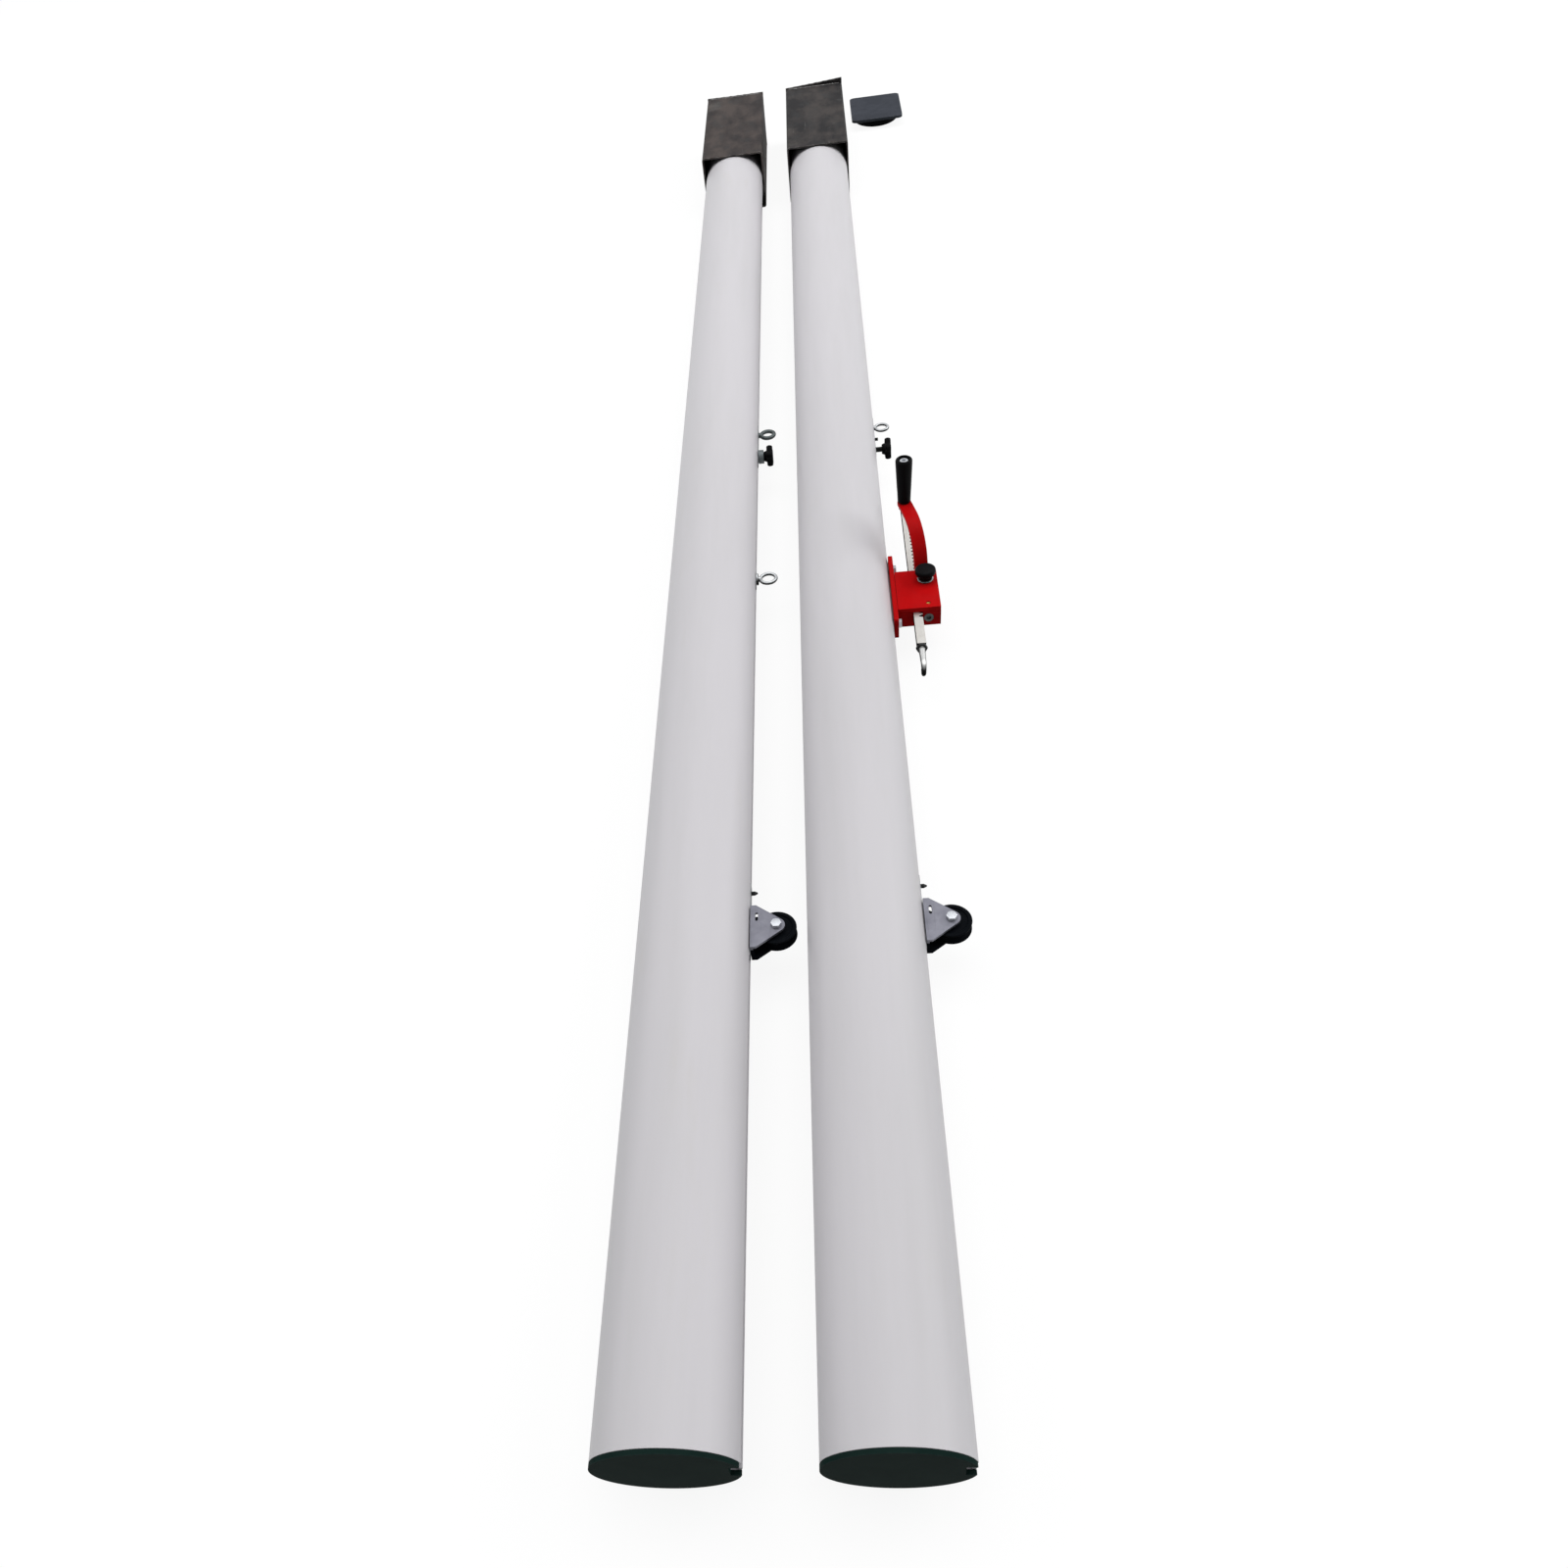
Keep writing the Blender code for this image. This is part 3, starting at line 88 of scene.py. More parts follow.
def new_material(name, values):
    """Material with its constant values set on the Principled shader's own sockets."""
    material = bpy.data.materials.new(name)
    material.use_nodes = True
    shader = material.node_tree.nodes["Principled BSDF"]
    for label, value in values.items():
        shader.inputs[label].default_value = value
    return material, material.node_tree, shader


def stretched_noise(tree, group_in, detail, roughness):
    """Noise in the object's own coordinates, drawn out along its axes as the group's Stretch says."""
    place = add_node(tree, "TexCoord")
    stretched = add_node(tree, "VectorMath", {0: place.outputs["Object"], 1: group_in.outputs["Stretch"]},
                         operation="MULTIPLY")
    return add_node(tree, "TexNoise", {"Vector": stretched.outputs[0], "Scale": group_in.outputs["Scale"],
                                       "Detail": detail, "Roughness": roughness}).outputs[0]


# Cloudy change from one colour to another, as dust, scale or uneven plating gives
clouds, group_in, group_out = new_group(
    "clouds", [("Main", "Color", (1, 1, 1, 1)), ("Patches", "Color", (0, 0, 0, 1)), ("Stretch", "Vector", (1, 1, 1)),
               ("Scale", "Float", 10.0), ("From", "Float", 0.4), ("To", "Float", 0.7)],
    [("Color", "Color"), ("Mask", "Float")])
noise = stretched_noise(clouds, group_in, 6.0, 0.6)
spread = add_node(clouds, "MapRange", {"Value": noise, "From Min": group_in.outputs["From"],
                                       "From Max": group_in.outputs["To"]})
mixed = add_node(clouds, "Mix", {0: spread.outputs[0], 6: group_in.outputs["Main"], 7: group_in.outputs["Patches"]},
                 data_type="RGBA")
clouds.links.new(mixed.outputs[2], group_out.inputs["Color"])
clouds.links.new(spread.outputs[0], group_out.inputs["Mask"])

# Fine relief: the orange peel of a coating, or the grain of a mould
grain, group_in, group_out = new_group(
    "grain", [("Scale", "Float", 900.0), ("Stretch", "Vector", (1, 1, 1))], [("Height", "Float")])
grain.links.new(stretched_noise(grain, group_in, 3.0, 0.55), group_out.inputs["Height"])

# Worn edges: where the rounded normal leaves the true one, broken up by noise
edge_wear, group_in, group_out = new_group(
    "edge_wear", [("Width", "Float", 0.001), ("Scale", "Float", 200.0), ("Reach", "Float", 0.2)], [("Mask", "Float")])
rounded = add_node(edge_wear, "Bevel", {"Radius": group_in.outputs["Width"]}, samples=6)
surface = add_node(edge_wear, "NewGeometry")
same = add_node(edge_wear, "VectorMath", {0: rounded.outputs[0], 1: surface.outputs["Normal"]}, operation="DOT_PRODUCT")
bend = add_node(edge_wear, "Math", {0: 1.0, 1: same.outputs["Value"]}, operation="SUBTRACT")
place = add_node(edge_wear, "TexCoord")
noise = add_node(edge_wear, "TexNoise", {"Vector": place.outputs["Object"], "Scale": group_in.outputs["Scale"],
                                         "Detail": 4.0})
broken = add_node(edge_wear, "MapRange", {"Value": noise.outputs[0], "From Min": 0.35, "From Max": 0.65})
worn = add_node(edge_wear, "Math", {0: bend.outputs[0], 1: broken.outputs[0]}, operation="MULTIPLY")
reach = add_node(edge_wear, "MapRange", {"Value": worn.outputs[0], "From Min": 0.0,
                                         "From Max": group_in.outputs["Reach"]})
edge_wear.links.new(reach.outputs[0], group_out.inputs["Mask"])

# Small separate specks, such as grit or chips
specks, group_in, group_out = new_group(
    "specks", [("Scale", "Float", 30.0), ("Size", "Float", 0.05), ("Share", "Float", 0.9)], [("Mask", "Float")])
place = add_node(specks, "TexCoord")
cells = add_node(specks, "TexVoronoi", {"Vector": place.outputs["Object"], "Scale": group_in.outputs["Scale"]})
near = add_node(specks, "Math", {0: cells.outputs["Distance"], 1: group_in.outputs["Size"]}, operation="LESS_THAN")
pick = add_node(specks, "Math", {0: cells.outputs["Color"], 1: group_in.outputs["Share"]}, operation="GREATER_THAN")
both = add_node(specks, "Math", {0: near.outputs[0], 1: pick.outputs[0]}, operation="MULTIPLY")
specks.links.new(both.outputs[0], group_out.inputs["Mask"])


def colour_over(tree, below, colour, mask, strength=1.0):
    """Lays a colour over another where a mask says, thinned to a strength."""
    if strength < 1:
        mask = add_node(tree, "Math", {0: mask, 1: strength}, operation="MULTIPLY").outputs[0]
    return add_node(tree, "Mix", {0: mask, 6: below, 7: colour}, data_type="RGBA").outputs[2]


def relief(tree, shader, group, values, strength, distance):
    """Bumps the surface by a group's height."""
    height = use_group(tree, group, values).outputs["Height"]
    bump = add_node(tree, "Bump", {"Height": height, "Strength": strength, "Distance": distance})
    tree.links.new(bump.outputs[0], shader.inputs["Normal"])


powder_coat, tree, shader = new_material("white_powder_coat", {"Roughness": 0.45, "IOR": 1.3, "Coat Weight": 0.05,
                                                                "Coat Roughness": 0.3})
dusty = use_group(tree, clouds, {"Main": (0.565, 0.55, 0.572, 1), "Patches": (0.53, 0.518, 0.533, 1),
                                 "Stretch": (9, 0.8, 9), "Scale": 2.2, "From": 0.42, "To": 0.75})
smudges = use_group(tree, clouds, {"Stretch": (14, 2.5, 14), "Scale": 1.6, "From": 0.62, "To": 0.78})
colour = colour_over(tree, dusty.outputs["Color"], (0.52, 0.5, 0.47, 1), smudges.outputs["Mask"], 0.3)
grit = use_group(tree, specks, {"Scale": 22.0, "Size": 0.035, "Share": 0.93})
colour = colour_over(tree, colour, (0.06, 0.06, 0.06, 1), grit.outputs["Mask"])
tree.links.new(colour, shader.inputs["Base Color"])
relief(tree, shader, grain, {"Scale": 420.0}, 0.06, 0.0006)


def filled(outlines, low, high):
    """Solid of one height between flat closed outlines; the outlines after the first are holes."""
    work = bmesh.new()
    for outline in outlines:
        ring = [work.verts.new((x, y, low)) for x, y in outline]
        for one, two in zip(ring, ring[1:] + ring[:1]):
            work.edges.new((one, two))
    bmesh.ops.triangle_fill(work, use_beauty=True, use_dissolve=False, edges=work.edges[:])
    raised = bmesh.ops.extrude_face_region(work, geom=work.faces[:])
    bmesh.ops.translate(work, verts=[v for v in raised["geom"] if isinstance(v, bmesh.types.BMVert)],
                        vec=(0, 0, high - low))
    bmesh.ops.recalc_face_normals(work, faces=work.faces)
    return work


# Which way a shape's own height lies on the object: up, out of the groove, or along the posts. With ACROSS a
# flat outline stands upright, its x across the post and its y up.
ALONG_Z = Matrix.Identity(4)
ALONG_X = Matrix(((0, 0, 1, 0), (1, 0, 0, 0), (0, 1, 0, 0), (0, 0, 0, 1)))
ACROSS = Matrix(((1, 0, 0, 0), (0, 0, 1, 0), (0, 1, 0, 0), (0, 0, 0, 1)))


def piece(name, work, material, body, nodes, lay=ALONG_Z, at=(0, 0, 0), edge=0.3 * MM, corner=35, steps=2):
    """Finishes a shape: lays it in place, rounds its edges, smooths it and fixes it to its body."""
    if lay.determinant() < 0:
        bmesh.ops.reverse_faces(work, faces=work.faces)
    work.transform(Matrix.Translation(at) @ lay)
    mesh = bpy.data.meshes.new(name)
    work.to_mesh(mesh)
    work.free()
    item = bpy.data.objects.new(name, mesh)
    scene.collection.objects.link(item)
    mesh.materials.append(material)
    mesh.polygons.foreach_set("use_smooth", [True] * len(mesh.polygons))
    if edge:
        rounding = item.modifiers.new("rounded_edges", "BEVEL")
        rounding.width = edge
        rounding.segments = steps
        rounding.limit_method = "ANGLE"
        rounding.angle_limit = math.radians(corner)
        rounding.use_clamp_overlap = True
        evaluated = item.evaluated_get(bpy.context.evaluated_depsgraph_get())
        rounded_mesh = bpy.data.meshes.new_from_object(evaluated)
        item.modifiers.clear()
        item.data = rounded_mesh
        bpy.data.meshes.remove(mesh)
        mesh = rounded_mesh
        mesh.name = name
    mesh.set_sharp_from_angle(angle=math.radians(50))
    flat = item.modifiers.new("flat_faces", "WEIGHTED_NORMAL")
    flat.keep_sharp = True
    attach(item, body)
    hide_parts(*nodes)
    return item


def arc(centre, radii, start, end, steps):
    """Points along a part of an ellipse."""
    return [(centre[0] + radii[0] * math.cos(start + (end - start) * i / steps),
             centre[1] + radii[1] * math.sin(start + (end - start) * i / steps)) for i in range(steps + 1)]


OVAL_WIDTH = 120 * MM
OVAL_HEIGHT = 100 * MM
POST_WALL = 4 * MM
GROOVE_MOUTH = 12 * MM
GROOVE_LIP = 4 * MM
GROOVE_WIDTH = 24 * MM
GROOVE_DEPTH = 10 * MM
GROOVE_WALL = 3 * MM
GROOVE_FLOOR = -(GROOVE_LIP + GROOVE_DEPTH)


def oval_bay(inset, opening, floor, steps=160):
    """Oval less an inset, with a straight-sided bay in its groove side."""
    width, height = OVAL_WIDTH / 2 - inset, OVAL_HEIGHT / 2 - inset
    start = math.asin(opening / 2 / height)
    side = OVAL_WIDTH / 2 + floor
    return arc((0, 0), (width, height), start, 2 * math.pi - start, steps) + [(side, -opening / 2), (side, opening / 2)]


def post_section():
    """The extrusion's outline with its T-groove, and its hollow."""
    outer = oval_bay(0, GROOVE_MOUTH, -GROOVE_LIP)
    side = OVAL_WIDTH / 2
    outer[-1:-1] = [(side - GROOVE_LIP, -GROOVE_WIDTH / 2), (side + GROOVE_FLOOR, -GROOVE_WIDTH / 2),
                    (side + GROOVE_FLOOR, GROOVE_WIDTH / 2), (side - GROOVE_LIP, GROOVE_WIDTH / 2)]
    hollow = oval_bay(POST_WALL, GROOVE_WIDTH + 2 * GROOVE_WALL, GROOVE_FLOOR - GROOVE_WALL)
    return [outer, hollow]


# Where each post's axis starts, at its top end, and where its groove's face stands
post = {}
for side in ("left", "right"):
    low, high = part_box(side + "_post_extrusion")
    axis = (low[0] + OVAL_WIDTH / 2, low[1], (low[2] + high[2]) / 2)
    post[side] = {"axis": Vector(axis), "face": axis[0] + OVAL_WIDTH / 2}
    piece(side + "_post", filled(post_section(), 0, high[1] - low[1]), powder_coat, "posts",
          [side + "_post_extrusion"], ACROSS, axis, edge=0.4 * MM)


# Top caps
# Moulded plugs of dark green plastic pressed into the post's upper end, with a bevelled rim.
# A notch leaves the groove's mouth open, so that slot nuts can be slid in from the top.

CAP_THICKNESS = 4 * MM
CAP_GAP = 0.3 * MM
NOTCH_WIDTH = 21 * MM
NOTCH_DEPTH = 10 * MM


def plastic(name, colour, roughness, mould_grain, strength, worn=None, shine=0.1):
    """Moulded plastic: fine mould grain, slight bloom and paler rubbed edges. A given worn colour is also a painted
    highlight along the rims.
    """
    material, tree, shader = new_material(name, {"Roughness": roughness, "IOR": 1.2, "Specular IOR Level": shine})
    bloom = use_group(tree, clouds, {"Main": (*colour, 1), "Patches": (*[c * 1.35 + 0.002 for c in colour], 1),
                                     "Scale": 26.0, "From": 0.4, "To": 0.8})
    rub = use_group(tree, edge_wear, {"Width": 0.0012, "Scale": 160.0, "Reach": 0.35})
    rubbed_and_lit_edge = worn or [c * 2 + 0.006 for c in colour]
    top = colour_over(tree, bloom.outputs["Color"], (*rubbed_and_lit_edge, 1), rub.outputs["Mask"])
    tree.links.new(top, shader.inputs["Base Color"])
    relief(tree, shader, grain, {"Scale": mould_grain}, strength, 0.0004)
    return material


# The cap's paler rims are rubbed wear and a painted highlight on the bevel.
cap_plastic = plastic("dark_green_plastic", (0.0075, 0.018, 0.0155), 0.42, 1500.0, 0.12, (0.03, 0.042, 0.04), 0.01)
for side in ("left", "right"):
    rim = oval_bay(0, NOTCH_WIDTH, -NOTCH_DEPTH)
    axis = post[side]["axis"]
    piece(side + "_cap", filled([rim], 0, CAP_THICKNESS), cap_plastic, "posts", [side + "_top_cap"],
          ACROSS, (axis[0], axis[1] - CAP_GAP - CAP_THICKNESS, axis[2]), edge=1.1 * MM, steps=3)


# Foot plugs
# Black plastic plugs pressed into the post's lower end, to keep earth out.
# They sit inside the ground sleeves, out of sight.

def paint(material, *nodes):
    """Gives CAD nodes whose own shape is right a better finish."""
    for name in nodes:
        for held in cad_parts[name].material_slots:
            held.material = material


black_plastic = plastic("black_plastic", (0.0045, 0.0045, 0.005), 0.36, 1700.0, 0.14)
paint(black_plastic, "left_foot_plug", "right_foot_plug")


# Ground sleeves
# Rectangular steel boxes that are cast into the floor and hold the posts' feet. Raw mill steel, mottled
# grey and brown with scale and oil, paler where it was sawn, and closed by a flame-cut plate welded on.

def mill_steel(name, main, patches):
    """Raw mill steel: mottled scale, oil, dry patches, drawing scratches and bright edges."""
    material, tree, shader = new_material(name, {"Metallic": 0.06, "IOR": 1.25, "Specular IOR Level": 0.12})
    scale = use_group(tree, clouds, {"Main": (*main, 1), "Patches": (*patches, 1), "Stretch": (1, 0.55, 1),
                                     "Scale": 19.0, "From": 0.42, "To": 0.6})
    oil = use_group(tree, clouds, {"Stretch": (1.2, 0.6, 1), "Scale": 34.0, "From": 0.5, "To": 0.64})
    colour = colour_over(tree, scale.outputs["Color"], (*[c * 0.45 for c in main], 1), oil.outputs["Mask"], 0.62)
    dry = use_group(tree, clouds, {"Scale": 11.0, "From": 0.6, "To": 0.72})
    colour = colour_over(tree, colour, (0.12, 0.115, 0.108, 1), dry.outputs["Mask"], 0.35)
    scratch = use_group(tree, clouds, {"Stretch": (1, 0.04, 1), "Scale": 260.0, "From": 0.66, "To": 0.72})
    colour = colour_over(tree, colour, (0.2, 0.195, 0.19, 1), scratch.outputs["Mask"], 0.4)
    rub = use_group(tree, edge_wear, {"Width": 0.0016, "Scale": 90.0, "Reach": 0.14})
    colour = colour_over(tree, colour, (0.4, 0.39, 0.38, 1), rub.outputs["Mask"])
    tree.links.new(colour, shader.inputs["Base Color"])
    sheen = add_node(tree, "MapRange", {"Value": oil.outputs["Mask"], "To Min": 0.6, "To Max": 0.44})
    tree.links.new(sheen.outputs[0], shader.inputs["Roughness"])
    relief(tree, shader, grain, {"Scale": 330.0}, 0.25, 0.0005)
    return material


def rounded_rectangle(width, height, corner, steps):
    """Outline with rounded corners about its own middle."""
    points = []
    for quarter, (across, up) in enumerate(((1, 1), (-1, 1), (-1, -1), (1, -1))):
        middle = (across * (width / 2 - corner), up * (height / 2 - corner))
        points += arc(middle, (corner, corner), quarter * math.pi / 2, (quarter + 1) * math.pi / 2, steps)
    return points


sleeve_steel = {"left": mill_steel("raw_mill_steel", (0.03, 0.026, 0.026), (0.066, 0.054, 0.05)),
                "right": mill_steel("raw_mill_steel_brown", (0.019, 0.018, 0.019), (0.05, 0.044, 0.042))}
SLEEVE_WALL = 3 * MM
PLATE_TOP = 107 * MM
FLAME_STEPS = 24
for side in ("left", "right"):
    low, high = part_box(side + "_ground_sleeve")
    width, height = high[0] - low[0], high[2] - low[2]
    outer = rounded_rectangle(width, height, 5 * MM, 10)
    inner = rounded_rectangle(width - 2 * SLEEVE_WALL, height - 2 * SLEEVE_WALL, 2 * MM, 6)
    middle = ((low[0] + high[0]) / 2, low[1], (low[2] + high[2]) / 2)
    piece(side + "_sleeve_box", filled([outer, inner], 0, high[1] - low[1]), sleeve_steel[side], side + "_sleeve",
          [side + "_ground_sleeve"], ACROSS, middle, edge=0.5 * MM)

    # The plate's flame-cut edge wanders a little; its top slopes up past the box
    low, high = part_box(side + "_sleeve_end_plate")
    width = high[0] - low[0]
    rise = {"left": (0.6 * MM, 0.6 * MM), "right": (1 * MM, 9 * MM)}[side]
    corners = [(0, 0), (width, 0), (width, PLATE_TOP + rise[1]), (0, PLATE_TOP + rise[0])]
    outline = []
    for number, (one, two) in enumerate(zip(corners, corners[1:] + corners[:1])):
        for i in range(FLAME_STEPS):
            share = i / FLAME_STEPS
            inward = 0.0 if number == 0 else 0.35 * MM * (1 - math.cos(i * 2.1 + number)) * math.sin(math.pi * share)
            x, z = one[0] + (two[0] - one[0]) * share, one[1] + (two[1] - one[1]) * share
            outline.append((x + (-inward if number == 1 else inward if number == 3 else 0),
                            z - (inward if number == 2 else 0)))
    piece(side + "_flame_cut_plate", filled([outline], 0, high[1] - low[1]), sleeve_steel[side], side + "_sleeve",
          [side + "_sleeve_end_plate"], ACROSS, (low[0], low[1], low[2]), edge=0.4 * MM)


# Weld between sleeve and plate
# Short overlapping beads of steel that join the end plate to the sleeve along its top corner.
# They are bright where the slag was chipped off.

def skin(work, rows, closed=False):
    """Faces between rows of vertices, one row after another. A row of one vertex is a tip."""
    for one, two in zip(rows, rows[1:] + (rows[:1] if closed else [])):
        for k in range(max(len(one), len(two))):
            corners = (one[k % len(one)], one[(k + 1) % len(one)], two[(k + 1) % len(two)], two[k % len(two)])
            work.faces.new(list(dict.fromkeys(corners)))
    bmesh.ops.recalc_face_normals(work, faces=work.faces)


def close_ends(work, rows):
    """Flat face at each end of a skinned bar."""
    work.faces.new(rows[0][::-1])
    work.faces.new(rows[-1])
    bmesh.ops.recalc_face_normals(work, faces=work.faces)


def swept(points, radii, sides):
    """Round bar through points with a radius at each, with flat closed ends."""
    work = bmesh.new()
    rings = []
    for i, (point, radius) in enumerate(zip(points, radii)):
        before, after = points[max(i - 1, 0)], points[min(i + 1, len(points) - 1)]
        along = (Vector(after) - Vector(before)).normalized()
        across = along.cross(Vector((0, 0, 1)))
        if across.length < 0.1:
            across = along.cross(Vector((1, 0, 0)))
        across.normalize()
        up = across.cross(along)
        rings.append([work.verts.new(Vector(point) + radius * (math.cos(a) * across + math.sin(a) * up))
                      for a in (2 * math.pi * k / sides for k in range(sides))])
    skin(work, rings)
    close_ends(work, rings)
    return work


weld_metal, tree, shader = new_material("weld_metal", {"Metallic": 0.7, "Roughness": 0.5})
burnt = use_group(tree, clouds, {"Main": (0.1, 0.097, 0.095, 1), "Patches": (0.26, 0.26, 0.255, 1), "Scale": 130.0,
                                 "From": 0.5, "To": 0.62})
tree.links.new(burnt.outputs["Color"], shader.inputs["Base Color"])
relief(tree, shader, grain, {"Scale": 800.0}, 0.3, 0.0004)
WELD_INSIDE = 1.4 * MM
WELD_MARGIN = 7 * MM
WELD_STEPS = 150
for side in ("left", "right"):
    low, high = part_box(side + "_ground_sleeve")
    seam = high[1] - WELD_INSIDE
    points, radii = [], []
    for i in range(WELD_STEPS + 1):
        share = i / WELD_STEPS
        ripple = abs(math.sin(share * 55)) + 0.25 * math.sin(share * 137)
        across = low[0] + WELD_MARGIN + (high[0] - low[0] - 2 * WELD_MARGIN) * share
        points.append((across, seam + 0.3 * MM * math.sin(share * 31), high[2] - 0.5 * MM))
        radii.append((1.15 + 0.3 * ripple) * MM if side == "right" else (0.85 + 0.2 * ripple) * MM)
    piece(side + "_sleeve_weld", swept(points, radii, 10), weld_metal, side + "_sleeve", [], edge=0)


# Sleeve cover
# Moulded slate-grey cover that closes an empty sleeve flush with the floor: a flat plate with rounded
# corners over an oval spigot. It lies loose beside the right sleeve, plate uppermost. The spigot under the
# plate is coloured near black as painted shade.

def midway(low, high):
    """Middle of a box."""
    return tuple((one + two) / 2 for one, two in zip(low, high))


# The cover's much paler edges are a painted highlight along its rim, with some rubbed wear.
slate = plastic("slate_plastic", (0.038, 0.0415, 0.051), 0.55, 1100.0, 0.22, (0.26, 0.28, 0.31), 0.06)
low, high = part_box("sleeve_cover")
centre = midway(low, high)[:2]
COVER_PLATE = 5 * MM
COVER_CORNER = 11 * MM
SPIGOT_RADII = (50 * MM, 60 * MM)
SPIGOT_STEPS = 119
under = high[2] - COVER_PLATE
cover = filled([rounded_rectangle(high[0] - low[0], high[1] - low[1], COVER_CORNER, 12)], under, high[2])
piece("cover_plate", cover, slate, "posts", ["sleeve_cover"], at=(*centre, 0), edge=0.7 * MM, steps=3)
last_step = 2 * math.pi * SPIGOT_STEPS / (SPIGOT_STEPS + 1)
spigot = filled([arc((0, 0), SPIGOT_RADII, 0, last_step, SPIGOT_STEPS)], 0, under - 0.01 * MM)
# Near black: painted shade on the spigot under the plate.
shadow_plastic = plastic("spigot_painted_shade_plastic", (0.006, 0.006, 0.007), 0.6, 1100.0, 0.2)
piece("cover_spigot", spigot, shadow_plastic, "posts", ["sleeve_cover"], at=(*centre, 0),
      edge=0.6 * MM)


# Cable pulleys
# On each post a bar slides in the groove and carries a bent zinc-plated bracket. A black wheel runs on a
# bush and an M6 bolt between its cheeks, and a grub screw with a pointed end locks the bar.

def zinc_plate(name, main, patches, rough, dark_side=None, painted_side_shade=None, shine=0.4):
    """Zinc plating: cloudy grey with a dull sheen. Below dark_side the colour is near black.

    Where a side shade colour is given, faces that do not look up take it as painted shade and lose their metal sheen.
    Black parts are not metallic."""
    material, tree, shader = new_material(name, {"Metallic": 0.55, "Specular IOR Level": shine})
    metal_shows = None
    plated = use_group(tree, clouds, {"Main": (*main, 1), "Patches": (*patches, 1), "Scale": 70.0,
                                      "From": 0.35, "To": 0.7})
    colour = plated.outputs["Color"]
    drawn = use_group(tree, clouds, {"Stretch": (1, 0.05, 1), "Scale": 420.0, "From": 0.6, "To": 0.72})
    colour = colour_over(tree, colour, (*[c * 0.6 for c in main], 1), drawn.outputs["Mask"], 0.3)
    rub = use_group(tree, edge_wear, {"Width": 0.0006, "Scale": 250.0, "Reach": 0.3})
    colour = colour_over(tree, colour, (*[min(1, c * 1.4) for c in main], 1), rub.outputs["Mask"])
    if dark_side is not None:
        place = add_node(tree, "TexCoord")
        split = add_node(tree, "SeparateXYZ", {0: place.outputs["Object"]})
        metal_shows = add_node(tree, "Math", {0: split.outputs["Z"], 1: dark_side}, operation="GREATER_THAN")
        colour = colour_over(tree, (0.009, 0.01, 0.013, 1), colour, metal_shows.outputs[0])
    # Painted shade: faces that do not look up are darkened to the side shade colour.
    if painted_side_shade is not None:
        place = add_node(tree, "TexCoord")
        split = add_node(tree, "SeparateXYZ", {0: place.outputs["Normal"]})
        metal_shows = add_node(tree, "MapRange", {"Value": split.outputs["Z"], "From Min": 0.3, "From Max": 0.8})
        colour = colour_over(tree, (*painted_side_shade, 1), colour, metal_shows.outputs[0])
    if metal_shows is not None:
        metal = add_node(tree, "Math", {0: metal_shows.outputs[0], 1: 0.7}, operation="MULTIPLY")
        tree.links.new(metal.outputs[0], shader.inputs["Metallic"])
    tree.links.new(colour, shader.inputs["Base Color"])
    sheen = add_node(tree, "MapRange", {"Value": plated.outputs["Mask"], "To Min": rough, "To Max": rough + 0.12})
    tree.links.new(sheen.outputs[0], shader.inputs["Roughness"])
    relief(tree, shader, grain, {"Scale": 1400.0}, 0.08, 0.0003)
    return material


def turned(profile, steps=72):
    """Solid turned about its own Z from (radius, height) points. A profile off the axis closes on itself."""
    work = bmesh.new()
    rows = []
    for radius, height in profile:
        turns = [2 * math.pi * k / steps for k in range(steps if radius else 1)]
        rows.append([work.verts.new((radius * math.cos(a), radius * math.sin(a), height)) for a in turns])
    skin(work, rows, closed=len(rows[0]) > 1 and len(rows[-1]) > 1)
    return work


def rod(radius, low, high, steps):
    """Plain round rod, from low to high on its own Z."""
    return turned([(0, low), (radius, low), (radius, high), (0, high)], steps)


def hexagon(flats, height, bore=0.0, both=False, steps=96):
    """Hexagon head or nut with the curved chamfers that a turned cone leaves on its flats."""
    def rim(angle):
        return flats / 2 / math.cos((angle % (math.pi / 3)) - math.pi / 6)

    work = bmesh.new()
    cone = flats / 2 * 0.96
    slope = math.tan(math.radians(30))
    inside = bore or 1e-9
    rows = []
    for level in range(6):
        row = []
        for k in range(steps):
            angle = 2 * math.pi * (k + 0.5) / steps
            edge = rim(angle)
            drop = (edge - cone) * slope
            radius, up = [(inside, 0), (cone if both else edge, 0), (edge, drop if both else 0.05 * MM),
                          (edge, height - drop), (cone, height), (inside, height)][level]
            row.append(work.verts.new((radius * math.cos(angle), radius * math.sin(angle), up)))
        rows.append(row)
    skin(work, rows, closed=bore > 0)
    if not bore:
        bmesh.ops.remove_doubles(work, verts=rows[0] + rows[-1], dist=1e-7)
    bmesh.ops.recalc_face_normals(work, faces=work.faces)
    return work


def threaded(radius, pitch, low, high, steps=36):
    """Rod with a real single-start thread, from low to high on its own Z."""
    work = bmesh.new()
    depth = 0.55 * pitch
    levels = max(8, round((high - low) / pitch * 8))
    rows = []
    for level in range(levels + 1):
        up = low + (high - low) * level / levels
        fade = min(1, (up - low) / pitch, (high - up) / pitch)
        row = []
        for k in range(steps):
            phase = (up / pitch - k / steps) % 1
            cut = depth * (1 - abs(2 * phase - 1)) * (0.4 + 0.6 * fade)
            turn = 2 * math.pi * k / steps
            reach = radius - cut
            row.append(work.verts.new((reach * math.cos(turn), reach * math.sin(turn), up)))
        rows.append(row)
    skin(work, rows)
    close_ends(work, rows)
    return work


